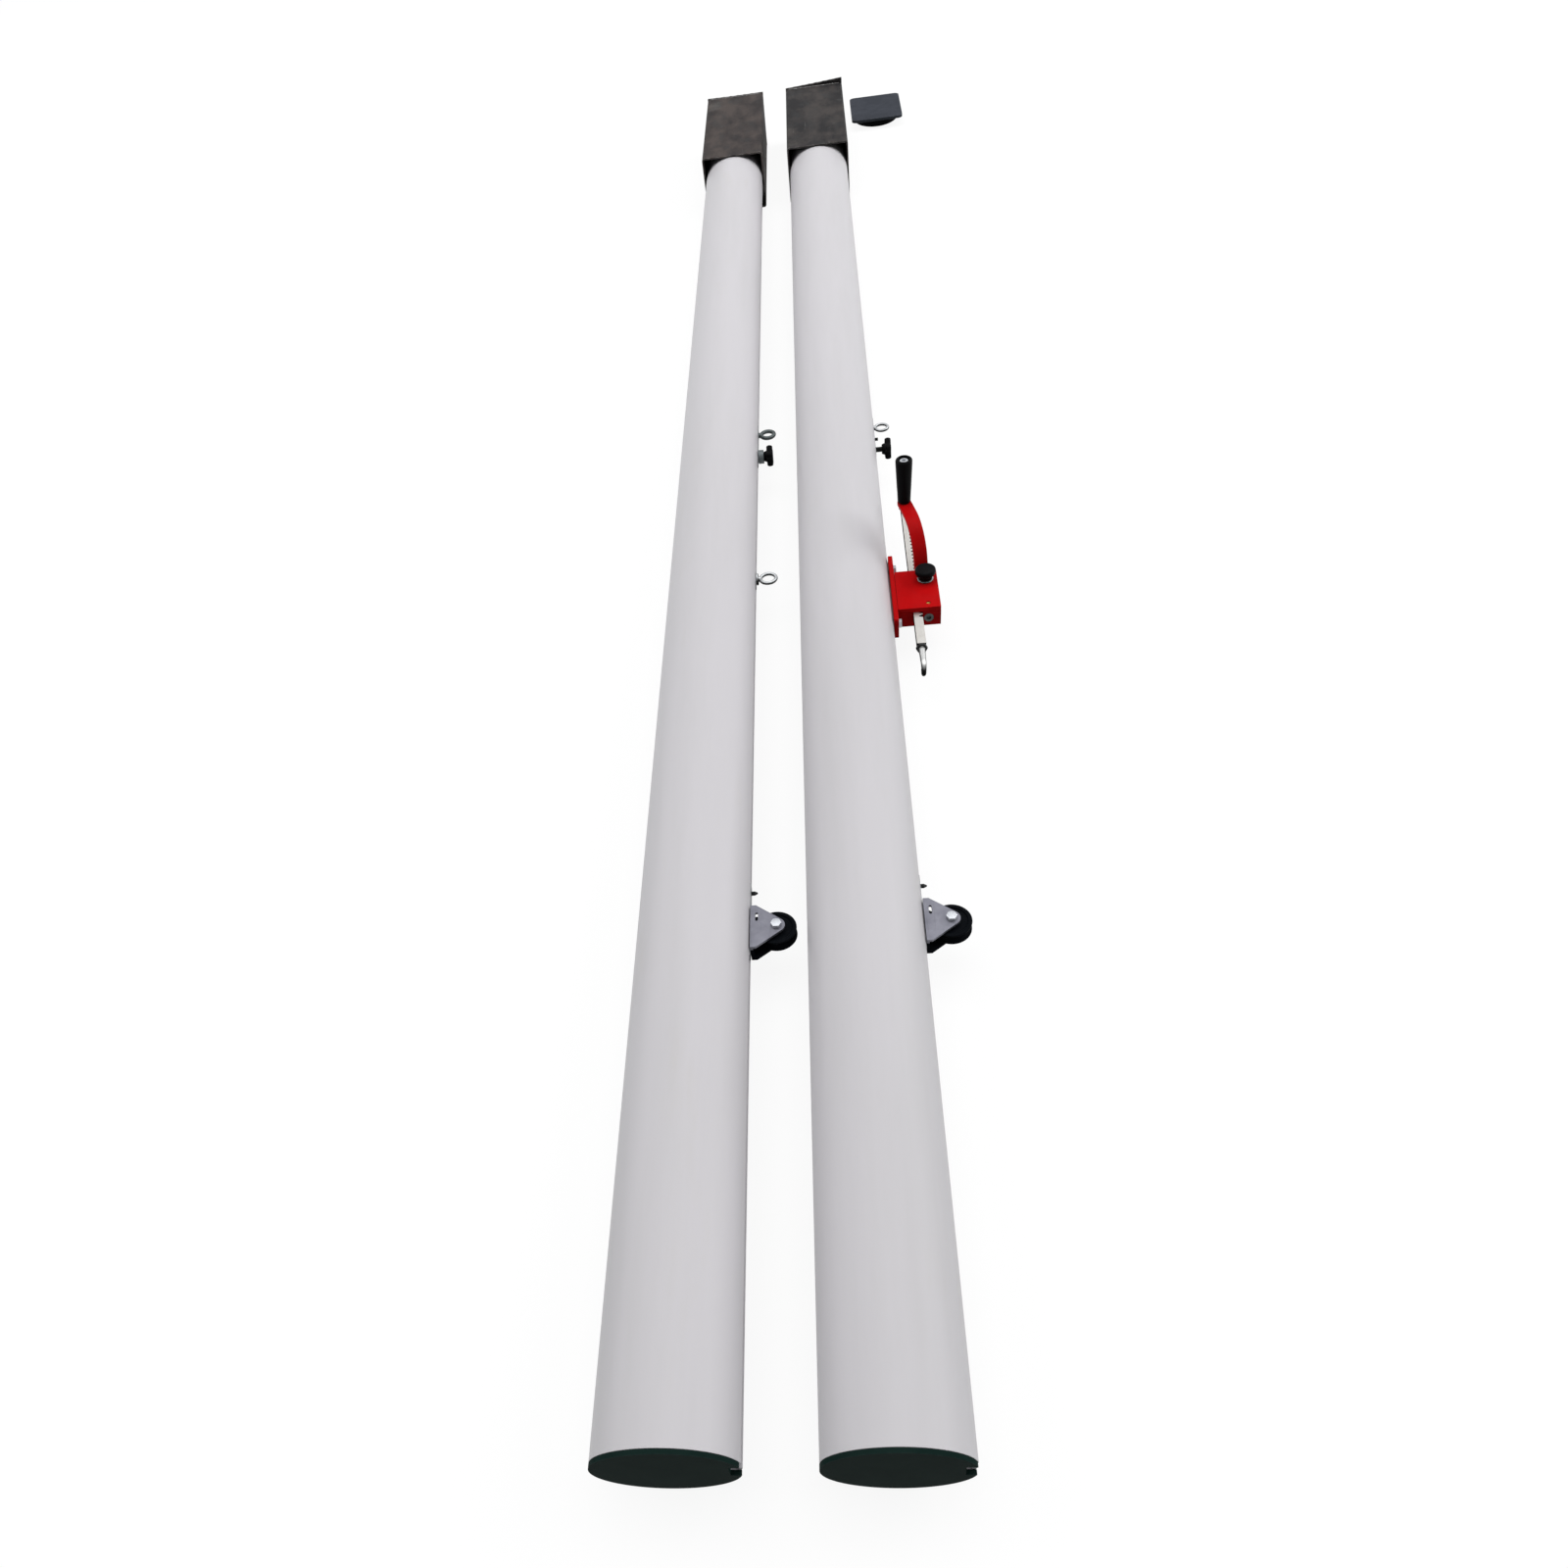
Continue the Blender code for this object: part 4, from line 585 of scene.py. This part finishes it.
def together(*shapes):
    """Joins shapes into one, each a closed body, with (shape, move) where one has to be moved first."""
    work = bmesh.new()
    for shape in shapes:
        shape, move = shape if isinstance(shape, tuple) else (shape, None)
        if move is not None:
            shape.transform(move)
        held = bpy.data.meshes.new("held")
        shape.to_mesh(held)
        shape.free()
        work.from_mesh(held)
        bpy.data.meshes.remove(held)
    return work


def shift(x=0.0, y=0.0, z=0.0):
    """Move for together."""
    return Matrix.Translation((x, y, z))


def bevelled(node):
    """The CAD node's own shape, joined up, ready to have its edges rounded."""
    work = bmesh.new()
    work.from_mesh(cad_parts[node].data)
    work.transform(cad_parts[node].matrix_world)
    bmesh.ops.remove_doubles(work, verts=work.verts, dist=1e-6)
    bmesh.ops.dissolve_limit(work, angle_limit=0.01, verts=work.verts, edges=work.edges)
    return work


bright_zinc = zinc_plate("bright_zinc_bolts", (0.5, 0.515, 0.545), (0.36, 0.375, 0.4), 0.34)
slide_zinc = zinc_plate("zinc_slide_bars", (0.3, 0.31, 0.32), (0.2, 0.205, 0.21), 0.42)
AXIS_HEIGHT = post["left"]["axis"][2]
bracket_zinc = zinc_plate("zinc_bracket_black_below", (0.18, 0.18, 0.208), (0.146, 0.146, 0.172), 0.45,
                          AXIS_HEIGHT + 6 * MM, shine=0.0)
black_steel = zinc_plate("blackened_steel", (0.016, 0.017, 0.017), (0.01, 0.011, 0.011), 0.45)
bush_metal = zinc_plate("machined_steel", (0.5, 0.5, 0.49), (0.38, 0.38, 0.37), 0.3)
wheel_plastic = plastic("black_wheel_plastic", (0.0032, 0.004, 0.0055), 0.33, 1500.0, 0.1, shine=0.05)

WHEEL_RADIUS = 21 * MM
WHEEL_HALF = 7 * MM
DISH_HALF = WHEEL_HALF - 1.5 * MM
# Bolts are M6 and grub screws M5: width across flats, height of head, thread's radius, pitch and length
M6_FLATS, M6_HEAD, M6_RADIUS, M6_PITCH = 10 * MM, 4 * MM, 3 * MM, 1 * MM
M5_RADIUS, M5_PITCH = 2.5 * MM, 0.8 * MM
BOLT_THREAD = 9 * MM
for side in ("left", "right"):
    name = side + "_pulley_"
    body = side + "_pulley_carriage"
    low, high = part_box(name + "wheel")
    axle = Vector(midway(low, high))
    paint(slide_zinc, name + "slide_bar")
    paint(bush_metal, name + "bush")
    piece(name + "fork", bevelled(name + "bracket"), bracket_zinc, body, [name + "bracket"],
          edge=0.35 * MM, corner=30)

    # Flanges 1.6 mm thick, a round cable groove, and dished sides with a raised boss
    groove = [(WHEEL_RADIUS - 5.5 * MM * math.sin(math.pi * i / 16), 5.4 * MM * math.cos(math.pi * i / 16))
              for i in range(17)]
    half_side = [(4.8 * MM, WHEEL_HALF), (8 * MM, WHEEL_HALF), (9 * MM, DISH_HALF),
                 (16 * MM, DISH_HALF), (17 * MM, WHEEL_HALF), (WHEEL_RADIUS - 0.6 * MM, WHEEL_HALF),
                 (WHEEL_RADIUS, WHEEL_HALF - 0.6 * MM)]
    profile = half_side + groove + [(r, -z) for r, z in reversed(half_side)]
    piece(name + "sheave", turned(profile, 96), wheel_plastic, side + "_pulley", [name + "wheel"],
          at=axle, edge=0.25 * MM, corner=25)

    low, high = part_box(name + "axle_bolt")
    seat = high[2] - M6_HEAD - axle[2]
    foot = low[2] - axle[2]
    bolt = together((hexagon(M6_FLATS, M6_HEAD), shift(z=seat)),
                    rod(M6_RADIUS, foot + BOLT_THREAD, seat + 0.5 * MM, 36),
                    threaded(M6_RADIUS, M6_PITCH, foot, foot + BOLT_THREAD + 0.2 * MM))
    piece(name + "bolt", bolt, bright_zinc, body, [name + "axle_bolt"], at=axle, edge=0.12 * MM)
    low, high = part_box(name + "axle_nut")
    piece(name + "nut", hexagon(M6_FLATS, high[2] - low[2], M6_RADIUS + 0.3 * MM, True), bright_zinc, body,
          [name + "axle_nut"], at=(axle[0], axle[1], low[2]), edge=0.12 * MM)
    low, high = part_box(name + "lock_screw")
    middle = (low[0], *midway(low, high)[1:])
    out = high[0] - low[0]
    cone = turned([(0, out - 3.6 * MM), (2.4 * MM, out - 3.6 * MM), (2.3 * MM, out - 3.2 * MM),
                   (1.1 * MM, out - 0.5 * MM), (0.7 * MM, out), (0, out)], 32)
    grub = together(threaded(M5_RADIUS, M5_PITCH, 0, out - 3.4 * MM), cone)
    piece(name + "grub", grub, black_steel, body, [name + "lock_screw"], ALONG_X, middle, edge=0)


# Net sliders
# A bar in the groove with a ring bolt for the net's cord, and a black star knob whose stud locks it.
# The left one has a dull grey ring and a spacer under its knob; the right one has a thin bright ring.

M8_FLATS, M8_RADIUS, M8_PITCH = 13 * MM, 4 * MM, 1.25 * MM
M8_NUT_BORE = 4.3 * MM


def ring(radius, wire, turns=72, sides=24):
    """Ring of round wire, lying flat."""
    work = bmesh.new()
    loops = [[work.verts.new(((radius + wire * math.cos(b)) * math.cos(a), (radius + wire * math.cos(b)) * math.sin(a),
                              wire * math.sin(b))) for b in (2 * math.pi * k / sides for k in range(sides))]
             for a in (2 * math.pi * i / turns for i in range(turns))]
    skin(work, loops, closed=True)
    return work


def ring_bolt(out, radius, wire, depth, flange=0.0):
    """Ring lying flat on a shank that runs along X, with its root filleted into the ring."""
    near = out - radius
    neck = 4 * MM
    shank = turned([(0, -depth), (neck, -depth), (neck, near - 2.6 * MM), (neck * 0.86, near - 1.4 * MM),
                    (min(neck, wire * 1.15), near - 0.2 * MM), (wire * 0.8, near + wire * 0.4),
                    (0, near + wire * 0.5)], 40)
    shapes = [(ring(radius, wire), shift(out)), (shank, ALONG_X)]
    if flange:
        shapes.append((turned([(0, 0.3 * MM), (flange - 0.4 * MM, 0.3 * MM), (flange, 0.6 * MM), (flange, 2.3 * MM),
                               (flange - 0.6 * MM, 2.8 * MM), (0, 2.8 * MM)], 56), ALONG_X))
    return together(*shapes)


def star_knob(radius, lobe, hub, hub_height, thickness):
    """Five-lobed knob with domed top and soft edges, standing on a round hub."""
    work = bmesh.new()
    rows = []
    steps = 120
    profile = [(0.0, 0.0, 0), (hub, 0.0, 0), (hub + 0.5 * MM, 0.4 * MM, 0), (hub + 2 * MM, hub_height, 0)]
    for i in range(9):
        turn = -math.pi / 2 + math.pi * i / 8
        profile.append((radius - 2 * MM + 2 * MM * math.cos(turn), hub_height + thickness / 2
                        + (thickness / 2) * math.sin(turn) * (0.6 + 0.4 * abs(math.sin(turn))), 1))
    top = hub_height + thickness
    profile += [(radius * 0.55, top - 0.3 * MM, 0), (radius * 0.5, top - 0.9 * MM, 0), (0.0, top - 0.9 * MM, 0)]
    for reach, up, lobed in profile:
        row = []
        for turn in (2 * math.pi * k / steps for k in range(steps if reach else 1)):
            inward = lobed * lobe * (1 - math.cos(5 * turn)) / 2
            row.append(work.verts.new(((reach - inward) * math.cos(turn), (reach - inward) * math.sin(turn), up)))
        rows.append(row)
    skin(work, rows)
    return work


dull_ring = zinc_plate("galvanised_ring", (0.085, 0.1, 0.1), (0.06, 0.072, 0.074), 0.42)
# The sides of the rings and the washer are darkened as painted shade; only up-facing faces keep the bright steel.
steel_ring = zinc_plate("ring_bolts", (0.5, 0.51, 0.52), (0.36, 0.37, 0.38), 0.34, painted_side_shade=(0.045, 0.047, 0.045),
                        shine=0.0)
spacer_steel = zinc_plate("grey_spacer", (0.12, 0.135, 0.14), (0.09, 0.1, 0.105), 0.45)
# Shanks reach this deep into the groove. Each ring: its centre out from the groove's face, its radius, its
# wire's radius and its finish.
DEEP = 12.7 * MM
rings = {"left": (14.3 * MM, 10 * MM, 3 * MM, dull_ring), "right": (12.1 * MM, 9.5 * MM, 2.2 * MM, steel_ring)}
stud_finish = {"left": bright_zinc, "right": black_steel}
KNOB_OUT = 9 * MM
for side in ("left", "right"):
    name = side + "_slider_"
    face = post[side]["face"]
    paint(slide_zinc, name + "bar")
    low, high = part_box(name + "eye")
    out, radius, wire, metal = rings[side]
    at = (face, (low[1] + high[1]) / 2, AXIS_HEIGHT)
    piece(name + "ring", ring_bolt(out, radius, wire, DEEP), metal, side + "_slider", [name + "eye"],
          at=at, edge=0)
    low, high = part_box(name + "knob_stud")
    at = (face, (low[1] + high[1]) / 2, AXIS_HEIGHT)
    star = star_knob(radius=16 * MM, lobe=4 * MM, hub=6.5 * MM, hub_height=4.5 * MM, thickness=9 * MM)
    piece(name + "star", star, black_plastic, side + "_knob", [name + "knob"], ALONG_X,
          (face + KNOB_OUT, at[1], at[2]), edge=0)
    piece(name + "stud", threaded(M8_RADIUS, M8_PITCH, low[0] - face, high[0] - face), stud_finish[side],
          side + "_knob", [name + "knob_stud"], ALONG_X, at, edge=0)

# The right bar also has a short grub screw between its ring and its knob
GRUB_FROM_KNOB = 29.7 * MM
GRUB_OUT = 4.9 * MM
grub = together(threaded(M5_RADIUS, M5_PITCH, 0, GRUB_OUT - 1 * MM),
                turned([(0, GRUB_OUT - 1.2 * MM), (2.4 * MM, GRUB_OUT - 1.2 * MM), (2.4 * MM, GRUB_OUT - 0.5 * MM),
                        (1.9 * MM, GRUB_OUT), (0, GRUB_OUT)], 32))
piece("right_slider_grub", grub, black_steel, "right_slider", [], ALONG_X,
      (at[0], at[1] + GRUB_FROM_KNOB, at[2]), edge=0)

SPACER_RADIUS = 10 * MM
low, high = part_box("left_slider_knob_spacer")
length = high[0] - low[0]
tube = turned([(M8_NUT_BORE, 0), (SPACER_RADIUS, 0), (SPACER_RADIUS, length), (M8_NUT_BORE, length)], 64)
piece("left_slider_spacer", tube, spacer_steel, "left_slider", ["left_slider_knob_spacer"],
      ALONG_X, (low[0], *midway(low, high)[1:]), edge=0.5 * MM)


# Lower anchor on the left post
# A short zinc-plated slot nut in the groove takes a flanged ring bolt of bright steel.
# The net's lower cable is made fast to the ring.

paint(slide_zinc, "left_anchor_slot_nut")
low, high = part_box("left_anchor_eye")
at = (post["left"]["face"], (low[1] + high[1]) / 2, AXIS_HEIGHT)
piece("left_anchor_ring", ring_bolt(16.4 * MM, 10.6 * MM, 2.4 * MM, DEEP, 8 * MM), steel_ring, "anchor_eye",
      ["left_anchor_eye"], at=at, edge=0)


# Tensioner frame
# Steel plate bolted to the groove, with a milled housing on it and a flat top plate, all sprayed in
# glossy red enamel. Bronze bushes carry the pinion. A steel plug closes the plunger's bore at the front.

HUB_SHADE_RADIUS = 9.6 * MM
RED = (0.44, 0.004, 0.005)
RED_WORN = (0.52, 0.05, 0.045)


def enamel(name, colour, worn_to, hub=None):
    """Sprayed enamel with chipped edges. Where hub is given, the colour is near black round that point: painted shade
    under a knob.
    """
    material, tree, shader = new_material(name, {"Roughness": 0.3, "IOR": 1.2, "Specular IOR Level": 0.08,
                                                 "Coat Weight": 0.04, "Coat IOR": 1.2, "Coat Roughness": 0.1})
    sprayed = use_group(tree, clouds, {"Main": (*colour, 1), "Patches": (*[c * 0.82 for c in colour], 1), "Scale": 38.0,
                                       "From": 0.4, "To": 0.75})
    chips = use_group(tree, edge_wear, {"Width": 0.0008, "Scale": 240.0, "Reach": 0.5})
    top = colour_over(tree, sprayed.outputs["Color"], (*worn_to, 1), chips.outputs["Mask"], 0.55)
    if hub is not None:
        place = add_node(tree, "TexCoord")
        away = add_node(tree, "VectorMath", {0: place.outputs["Object"], 1: (*hub, 0)}, operation="SUBTRACT")
        plan = add_node(tree, "VectorMath", {0: away.outputs[0], 1: (1, 1, 0)}, operation="MULTIPLY")
        radius = add_node(tree, "VectorMath", {0: plan.outputs[0]}, operation="LENGTH")
        near = add_node(tree, "Math", {0: radius.outputs["Value"], 1: HUB_SHADE_RADIUS}, operation="LESS_THAN")
        top = colour_over(tree, top, (0.008, 0.007, 0.007, 1), near.outputs[0])
    tree.links.new(top, shader.inputs["Base Color"])
    relief(tree, shader, grain, {"Scale": 300.0}, 0.1, 0.0006)
    return material


red = enamel("red_enamel", RED, RED_WORN)
for node, edge in (("tensioner_mount_plate", 0.6), ("tensioner_housing", 0.6), ("tensioner_top_plate", 0.35)):
    piece(node.replace("tensioner_", "red_"), bevelled(node), red, "tensioner", [node],
          edge=edge * MM, corner=40)
paint(slide_zinc, "tensioner_slot_nut_front", "tensioner_slot_nut_rear")
for place in ("front", "rear"):
    node = "tensioner_mount_bolt_" + place
    low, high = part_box(node)
    middle = (0, *midway(low, high)[1:])
    seat = high[0] - M6_HEAD
    bolt = together((hexagon(M6_FLATS, M6_HEAD), shift(z=seat)), rod(M6_RADIUS, low[0], seat + 0.5 * MM, 32))
    piece("mount_bolt_" + place, bolt, bright_zinc, "tensioner", [node], ALONG_X, middle,
          edge=0.12 * MM)

bronze = zinc_plate("sintered_bronze", (0.42, 0.25, 0.09), (0.3, 0.17, 0.06), 0.4)
paint(bronze, "lower_pinion_bush", "upper_pinion_bush")
paint(bush_metal, "tensioner_plunger")

# The click's coil spring, on a mesh of its own
coil = piece("plunger_coil", bevelled("tensioner_plunger_spring"), bush_metal, "tensioner",
             ["tensioner_plunger_spring"], edge=0)
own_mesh(coil)

brass = zinc_plate("brass_oil_screw", (0.75, 0.52, 0.16), (0.6, 0.38, 0.1), 0.28)
piece("brass_screw", bevelled("tensioner_oil_screw"), brass, "tensioner", ["tensioner_oil_screw"],
      edge=0.15 * MM)
plug_steel = zinc_plate("dull_end_plug", (0.1, 0.105, 0.1), (0.07, 0.075, 0.07), 0.5)
piece("bore_plug", bevelled("tensioner_end_plug"), plug_steel, "tensioner", ["tensioner_end_plug"],
      edge=0.3 * MM)


# Rack and hook
# Toothed steel bar, milled and oiled, that the pinion drives through the housing. A tapered hook with a
# dark lock nut is screwed into its front end, and a screw with a round head stops its tail.

# The rack's sides are darkened nearly black as painted shade; its top keeps the bright machined colour.
rack_steel = zinc_plate("machined_rack", (0.62, 0.6, 0.57), (0.5, 0.48, 0.45), 0.3, painted_side_shade=(0.01, 0.01, 0.01),
                        shine=0.0)
piece("rack_bar", bevelled("tensioner_rack"), rack_steel, "rack", ["tensioner_rack"],
      edge=0.25 * MM, corner=25)
low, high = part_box("tensioner_hook_nut")
nut_at = ((low[0] + high[0]) / 2, low[1], (low[2] + high[2]) / 2)
piece("hook_lock_nut", hexagon(M8_FLATS, high[1] - low[1], M8_NUT_BORE, True), black_steel, "rack",
      ["tensioner_hook_nut"], ACROSS, nut_at, edge=0.12 * MM)

# The hook's sides and its bent-down tip are darkened as painted shade.
hook_steel = zinc_plate("bright_hook", (0.62, 0.62, 0.61), (0.45, 0.45, 0.44), 0.26, painted_side_shade=(0.025, 0.025, 0.025),
                        shine=0.0)
start = nut_at[1] - 0.3 * MM
BEND = 8.5 * MM
STRAIGHT = 24.5 * MM
TIP = 8 * MM
HOOK_ROOT = 4.3 * MM
HOOK_TAPER = 1.9 * MM
path = [(start - STRAIGHT * i / 12, 0.0) for i in range(13)]
path += [(start - STRAIGHT - BEND * math.sin(a), BEND * (math.cos(a) - 1))
         for a in (math.pi * i / 18 for i in range(1, 19))]
path += [(path[-1][0] + TIP * i / 4, path[-1][1]) for i in range(1, 5)]
run = [0.0]
for one, two in zip(path, path[1:]):
    run.append(run[-1] + math.dist(one, two))
radii = [HOOK_ROOT - HOOK_TAPER * r / run[-1] for r in run]
radii[0] -= 0.4 * MM
radii[-1] -= 0.8 * MM
hook = swept([(0, y, z) for y, z in path], radii, 28)
stem_low, stem_high = start - 2 * MM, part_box("tensioner_hook")[1][1]
stem = threaded(M8_RADIUS, M8_PITCH, 0, stem_high - stem_low)
stem.transform(Matrix.Translation((0, stem_low, 0)) @ ACROSS)
piece("cable_hook", together(hook, stem), hook_steel, "rack", ["tensioner_hook"],
      at=(nut_at[0], 0, nut_at[2]), edge=0)
piece("rack_stop_screw", bevelled("tensioner_rack_stop"), black_steel, "rack", ["tensioner_rack_stop"],
      edge=0.3 * MM)


# Crank
# Bowed flat bar in the same red, square-holed on the pinion's shaft over a thrust washer. A round black
# knob screws down on it, and a tapered black grip spins on a shouldered screw at its free end.

paint(bush_metal, "tensioner_pinion")
low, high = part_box("tensioner_thrust_washer")
middle = midway(low, high)[:2]
# The bar's end under the hub knob is coloured near black: painted shade.
arm_red = enamel("red_enamel_shaded_hub", RED, RED_WORN, middle)
piece("crank_bar", bevelled("tensioner_crank_arm"), arm_red, "crank", ["tensioner_crank_arm"],
      edge=0.6 * MM, corner=40, steps=3)
WASHER_RADII = (7.3 * MM, 10.5 * MM)
thick = high[2] - low[2]
washer = turned([(WASHER_RADII[0], 0), (WASHER_RADII[1], 0), (WASHER_RADII[1], thick), (WASHER_RADII[0], thick)], 72)
piece("thrust_ring", washer, steel_ring, "crank", ["tensioner_thrust_washer"],
      at=(*middle, low[2]), edge=0.3 * MM)

low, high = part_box("tensioner_hub_knob")
tall = high[2] - low[2]
HUB_KNOB_RADIUS = 13.4 * MM
HUB_KNOB_ROUND = 2.5 * MM
head = [(0, tall - 0.5 * MM), (8.6 * MM, tall - 0.5 * MM), (9.2 * MM, tall), (10.9 * MM, tall)]
head += [(HUB_KNOB_RADIUS - HUB_KNOB_ROUND * (1 - math.sin(a)), tall - HUB_KNOB_ROUND * (1 - math.cos(a)))
         for a in (math.pi / 2 * i / 6 for i in range(1, 7))]
head += [(HUB_KNOB_RADIUS, tall - 6 * MM), (12.6 * MM, tall - 7.2 * MM), (10.7 * MM, 1 * MM), (9.7 * MM, 0), (0, 0)]
piece("hub_cap_knob", turned(head, 96), black_plastic, "hub_knob", ["tensioner_hub_knob"],
      at=(*middle, low[2]), edge=0)

low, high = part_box("tensioner_grip")
grip_at = midway(low, high)[:2]
top = high[2] - low[2]
GRIP_RADIUS = 11 * MM
GRIP_ROUND = 3 * MM
WELL_RADIUS = 7 * MM
WELL_FLOOR = top - 6 * MM
grip = [(WELL_RADIUS, top - 1 * MM), (7.4 * MM, top - 0.3 * MM), (8 * MM, top)]
grip += [(GRIP_RADIUS - GRIP_ROUND * (1 - math.sin(a)), top - GRIP_ROUND * (1 - math.cos(a)))
         for a in (math.pi / 2 * i / 8 for i in range(1, 9))]
grip += [(10.9 * MM, top - 8 * MM), (10.2 * MM, top - 24 * MM), (9.5 * MM, top - 40 * MM), (9 * MM, 14 * MM),
         (8.6 * MM, 3 * MM), (8.2 * MM, 1 * MM), (7 * MM, 0), (M8_NUT_BORE, 0), (M8_NUT_BORE, WELL_FLOOR),
         (WELL_RADIUS, WELL_FLOOR)]
piece("spinning_grip", turned(grip, 96), black_plastic, "grip", ["tensioner_grip"],
      at=(*grip_at, low[2]), edge=0)
low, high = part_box("tensioner_grip_screw")
SCREW_HEAD = 3.5 * MM
SOCKET_RADIUS = 2.6 * MM
seat = high[2] - low[2] - SCREW_HEAD
socket = seat + 1.4 * MM
screw = together(turned([(0, seat), (6.2 * MM, seat), (6.2 * MM, seat + 1.6 * MM), (5.2 * MM, seat + SCREW_HEAD),
                         (SOCKET_RADIUS, seat + SCREW_HEAD), (SOCKET_RADIUS, socket), (0, socket)], 64),
                 rod(M8_RADIUS, BOLT_THREAD, seat + 0.4 * MM, 40),
                 threaded(M8_RADIUS, M8_PITCH, 0, BOLT_THREAD + 0.2 * MM))
piece("grip_shoulder_screw", screw, bright_zinc, "crank", ["tensioner_grip_screw"],
      at=(*grip_at, low[2]), edge=0)
low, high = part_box("tensioner_grip_nut")
ARM_TURN = math.radians(12.33)
nut = hexagon(M8_FLATS, high[2] - low[2], M8_NUT_BORE, True)
piece("grip_lock_nut", nut, bright_zinc, "crank", ["tensioner_grip_nut"],
      Matrix.Rotation(ARM_TURN, 4, "Z"), (*grip_at, low[2]), edge=0.12 * MM)


# Stage
# Plain pale floor that reads white to the camera and in reflections, and gives back a dull light below.
# One large softbox overhead and a smaller one on each side stand for an open, overcast sky. The camera stands
# where the photograph was taken.

FLOOR_HALF = 20
FLOOR_BELOW = 0.2 * MM
floor_mesh = bpy.data.meshes.new("floor")
floor_mesh.from_pydata([(-FLOOR_HALF, -FLOOR_HALF, 0), (FLOOR_HALF, -FLOOR_HALF, 0), (FLOOR_HALF, FLOOR_HALF, 0),
                        (-FLOOR_HALF, FLOOR_HALF, 0)], [], [(0, 1, 2, 3)])
floor = bpy.data.objects.new("floor", floor_mesh)
scene.collection.objects.link(floor)
floor.location.z = -FLOOR_BELOW
floor_paint, tree, shader = new_material("pale_floor", {"Roughness": 0.9, "Specular IOR Level": 0.0})
ray = add_node(tree, "LightPath")
seen = add_node(tree, "Math", {0: ray.outputs["Is Camera Ray"], 1: ray.outputs["Is Glossy Ray"]}, operation="MAXIMUM")
seen = add_node(tree, "Math", {0: seen.outputs[0], 1: ray.outputs["Is Transmission Ray"]}, operation="MAXIMUM")
shown = add_node(tree, "Mix", {0: seen.outputs[0], 6: (0.32, 0.35, 0.33, 1), 7: (0.11, 0.11, 0.11, 1)},
                 data_type="RGBA")
tree.links.new(shown.outputs[2], shader.inputs["Base Color"])
white = add_node(tree, "Math", {0: seen.outputs[0], 1: 0.9}, operation="MULTIPLY")
tree.links.new(white.outputs[0], shader.inputs["Emission Strength"])
shader.inputs["Emission Color"].default_value = (1, 1, 1, 1)
floor_mesh.materials.append(floor_paint)

world = bpy.data.worlds.new("open_sky")
scene.world = world
world.use_nodes = True
tree = world.node_tree
sky = tree.nodes["Background"]
ray = add_node(tree, "LightPath")
seen = add_node(tree, "Math", {0: ray.outputs["Is Camera Ray"], 1: ray.outputs["Is Glossy Ray"]}, operation="MAXIMUM")
strength = add_node(tree, "MapRange", {"Value": seen.outputs[0], "To Min": 0.2, "To Max": 1.0})
tree.links.new(strength.outputs[0], sky.inputs["Strength"])
sky.inputs["Color"].default_value = (0.97, 0.985, 1.0, 1)


def lamp(name, at, aim, size, power):
    """Softbox at a place, turned to face another."""
    light = bpy.data.lights.new(name, "AREA")
    light.shape = "RECTANGLE"
    light.size, light.size_y = size
    light.energy = power
    item = bpy.data.objects.new(name, light)
    scene.collection.objects.link(item)
    item.location = at
    item.rotation_euler = (Vector(aim) - Vector(at)).to_track_quat("-Z", "Y").to_euler()


lamp("overhead_softbox", (0.0, 0.8, 6.0), (0, 0, 0), (6.0, 6.0), 245)
lamp("left_softbox", (-5.0, 1.2, 3.2), (0, 0, 0), (6.0, 4.0), 155)
lamp("right_softbox", (5.0, 1.2, 3.2), (0, 0, 0), (6.0, 4.0), 242)

# Camera as fitted to the photograph: focal length and centre in pixels, then pitch, heading and roll
IMAGE_SIDE = 1600
FOCAL = 1211.463
CENTRE = (737.104, 922.044)
PITCH, HEADING, ROLL = 0.873, -0.1755, -0.1918
CAMERA_AT = (0.0134, -1.7768, 1.0270)
SENSOR = 36
ahead = Vector((math.sin(HEADING) * math.cos(PITCH), math.cos(HEADING) * math.cos(PITCH), -math.sin(PITCH)))
level = Vector((math.cos(HEADING), -math.sin(HEADING), 0))
upward = level.cross(ahead)
right = math.cos(ROLL) * level + math.sin(ROLL) * upward
above = math.cos(ROLL) * upward - math.sin(ROLL) * level
camera = bpy.data.objects.new("camera", bpy.data.cameras.new("camera"))
scene.collection.objects.link(camera)
turn = Matrix((right, above, -ahead)).transposed().to_4x4()
camera.matrix_world = Matrix.Translation(CAMERA_AT) @ turn
camera.data.sensor_width = SENSOR
camera.data.lens = SENSOR * FOCAL / IMAGE_SIDE
camera.data.shift_x = (IMAGE_SIDE / 2 - CENTRE[0]) / IMAGE_SIDE
camera.data.shift_y = (CENTRE[1] - IMAGE_SIDE / 2) / IMAGE_SIDE
camera.data.clip_start = 0.01
scene.camera = camera
scene.view_settings.view_transform = "Standard"
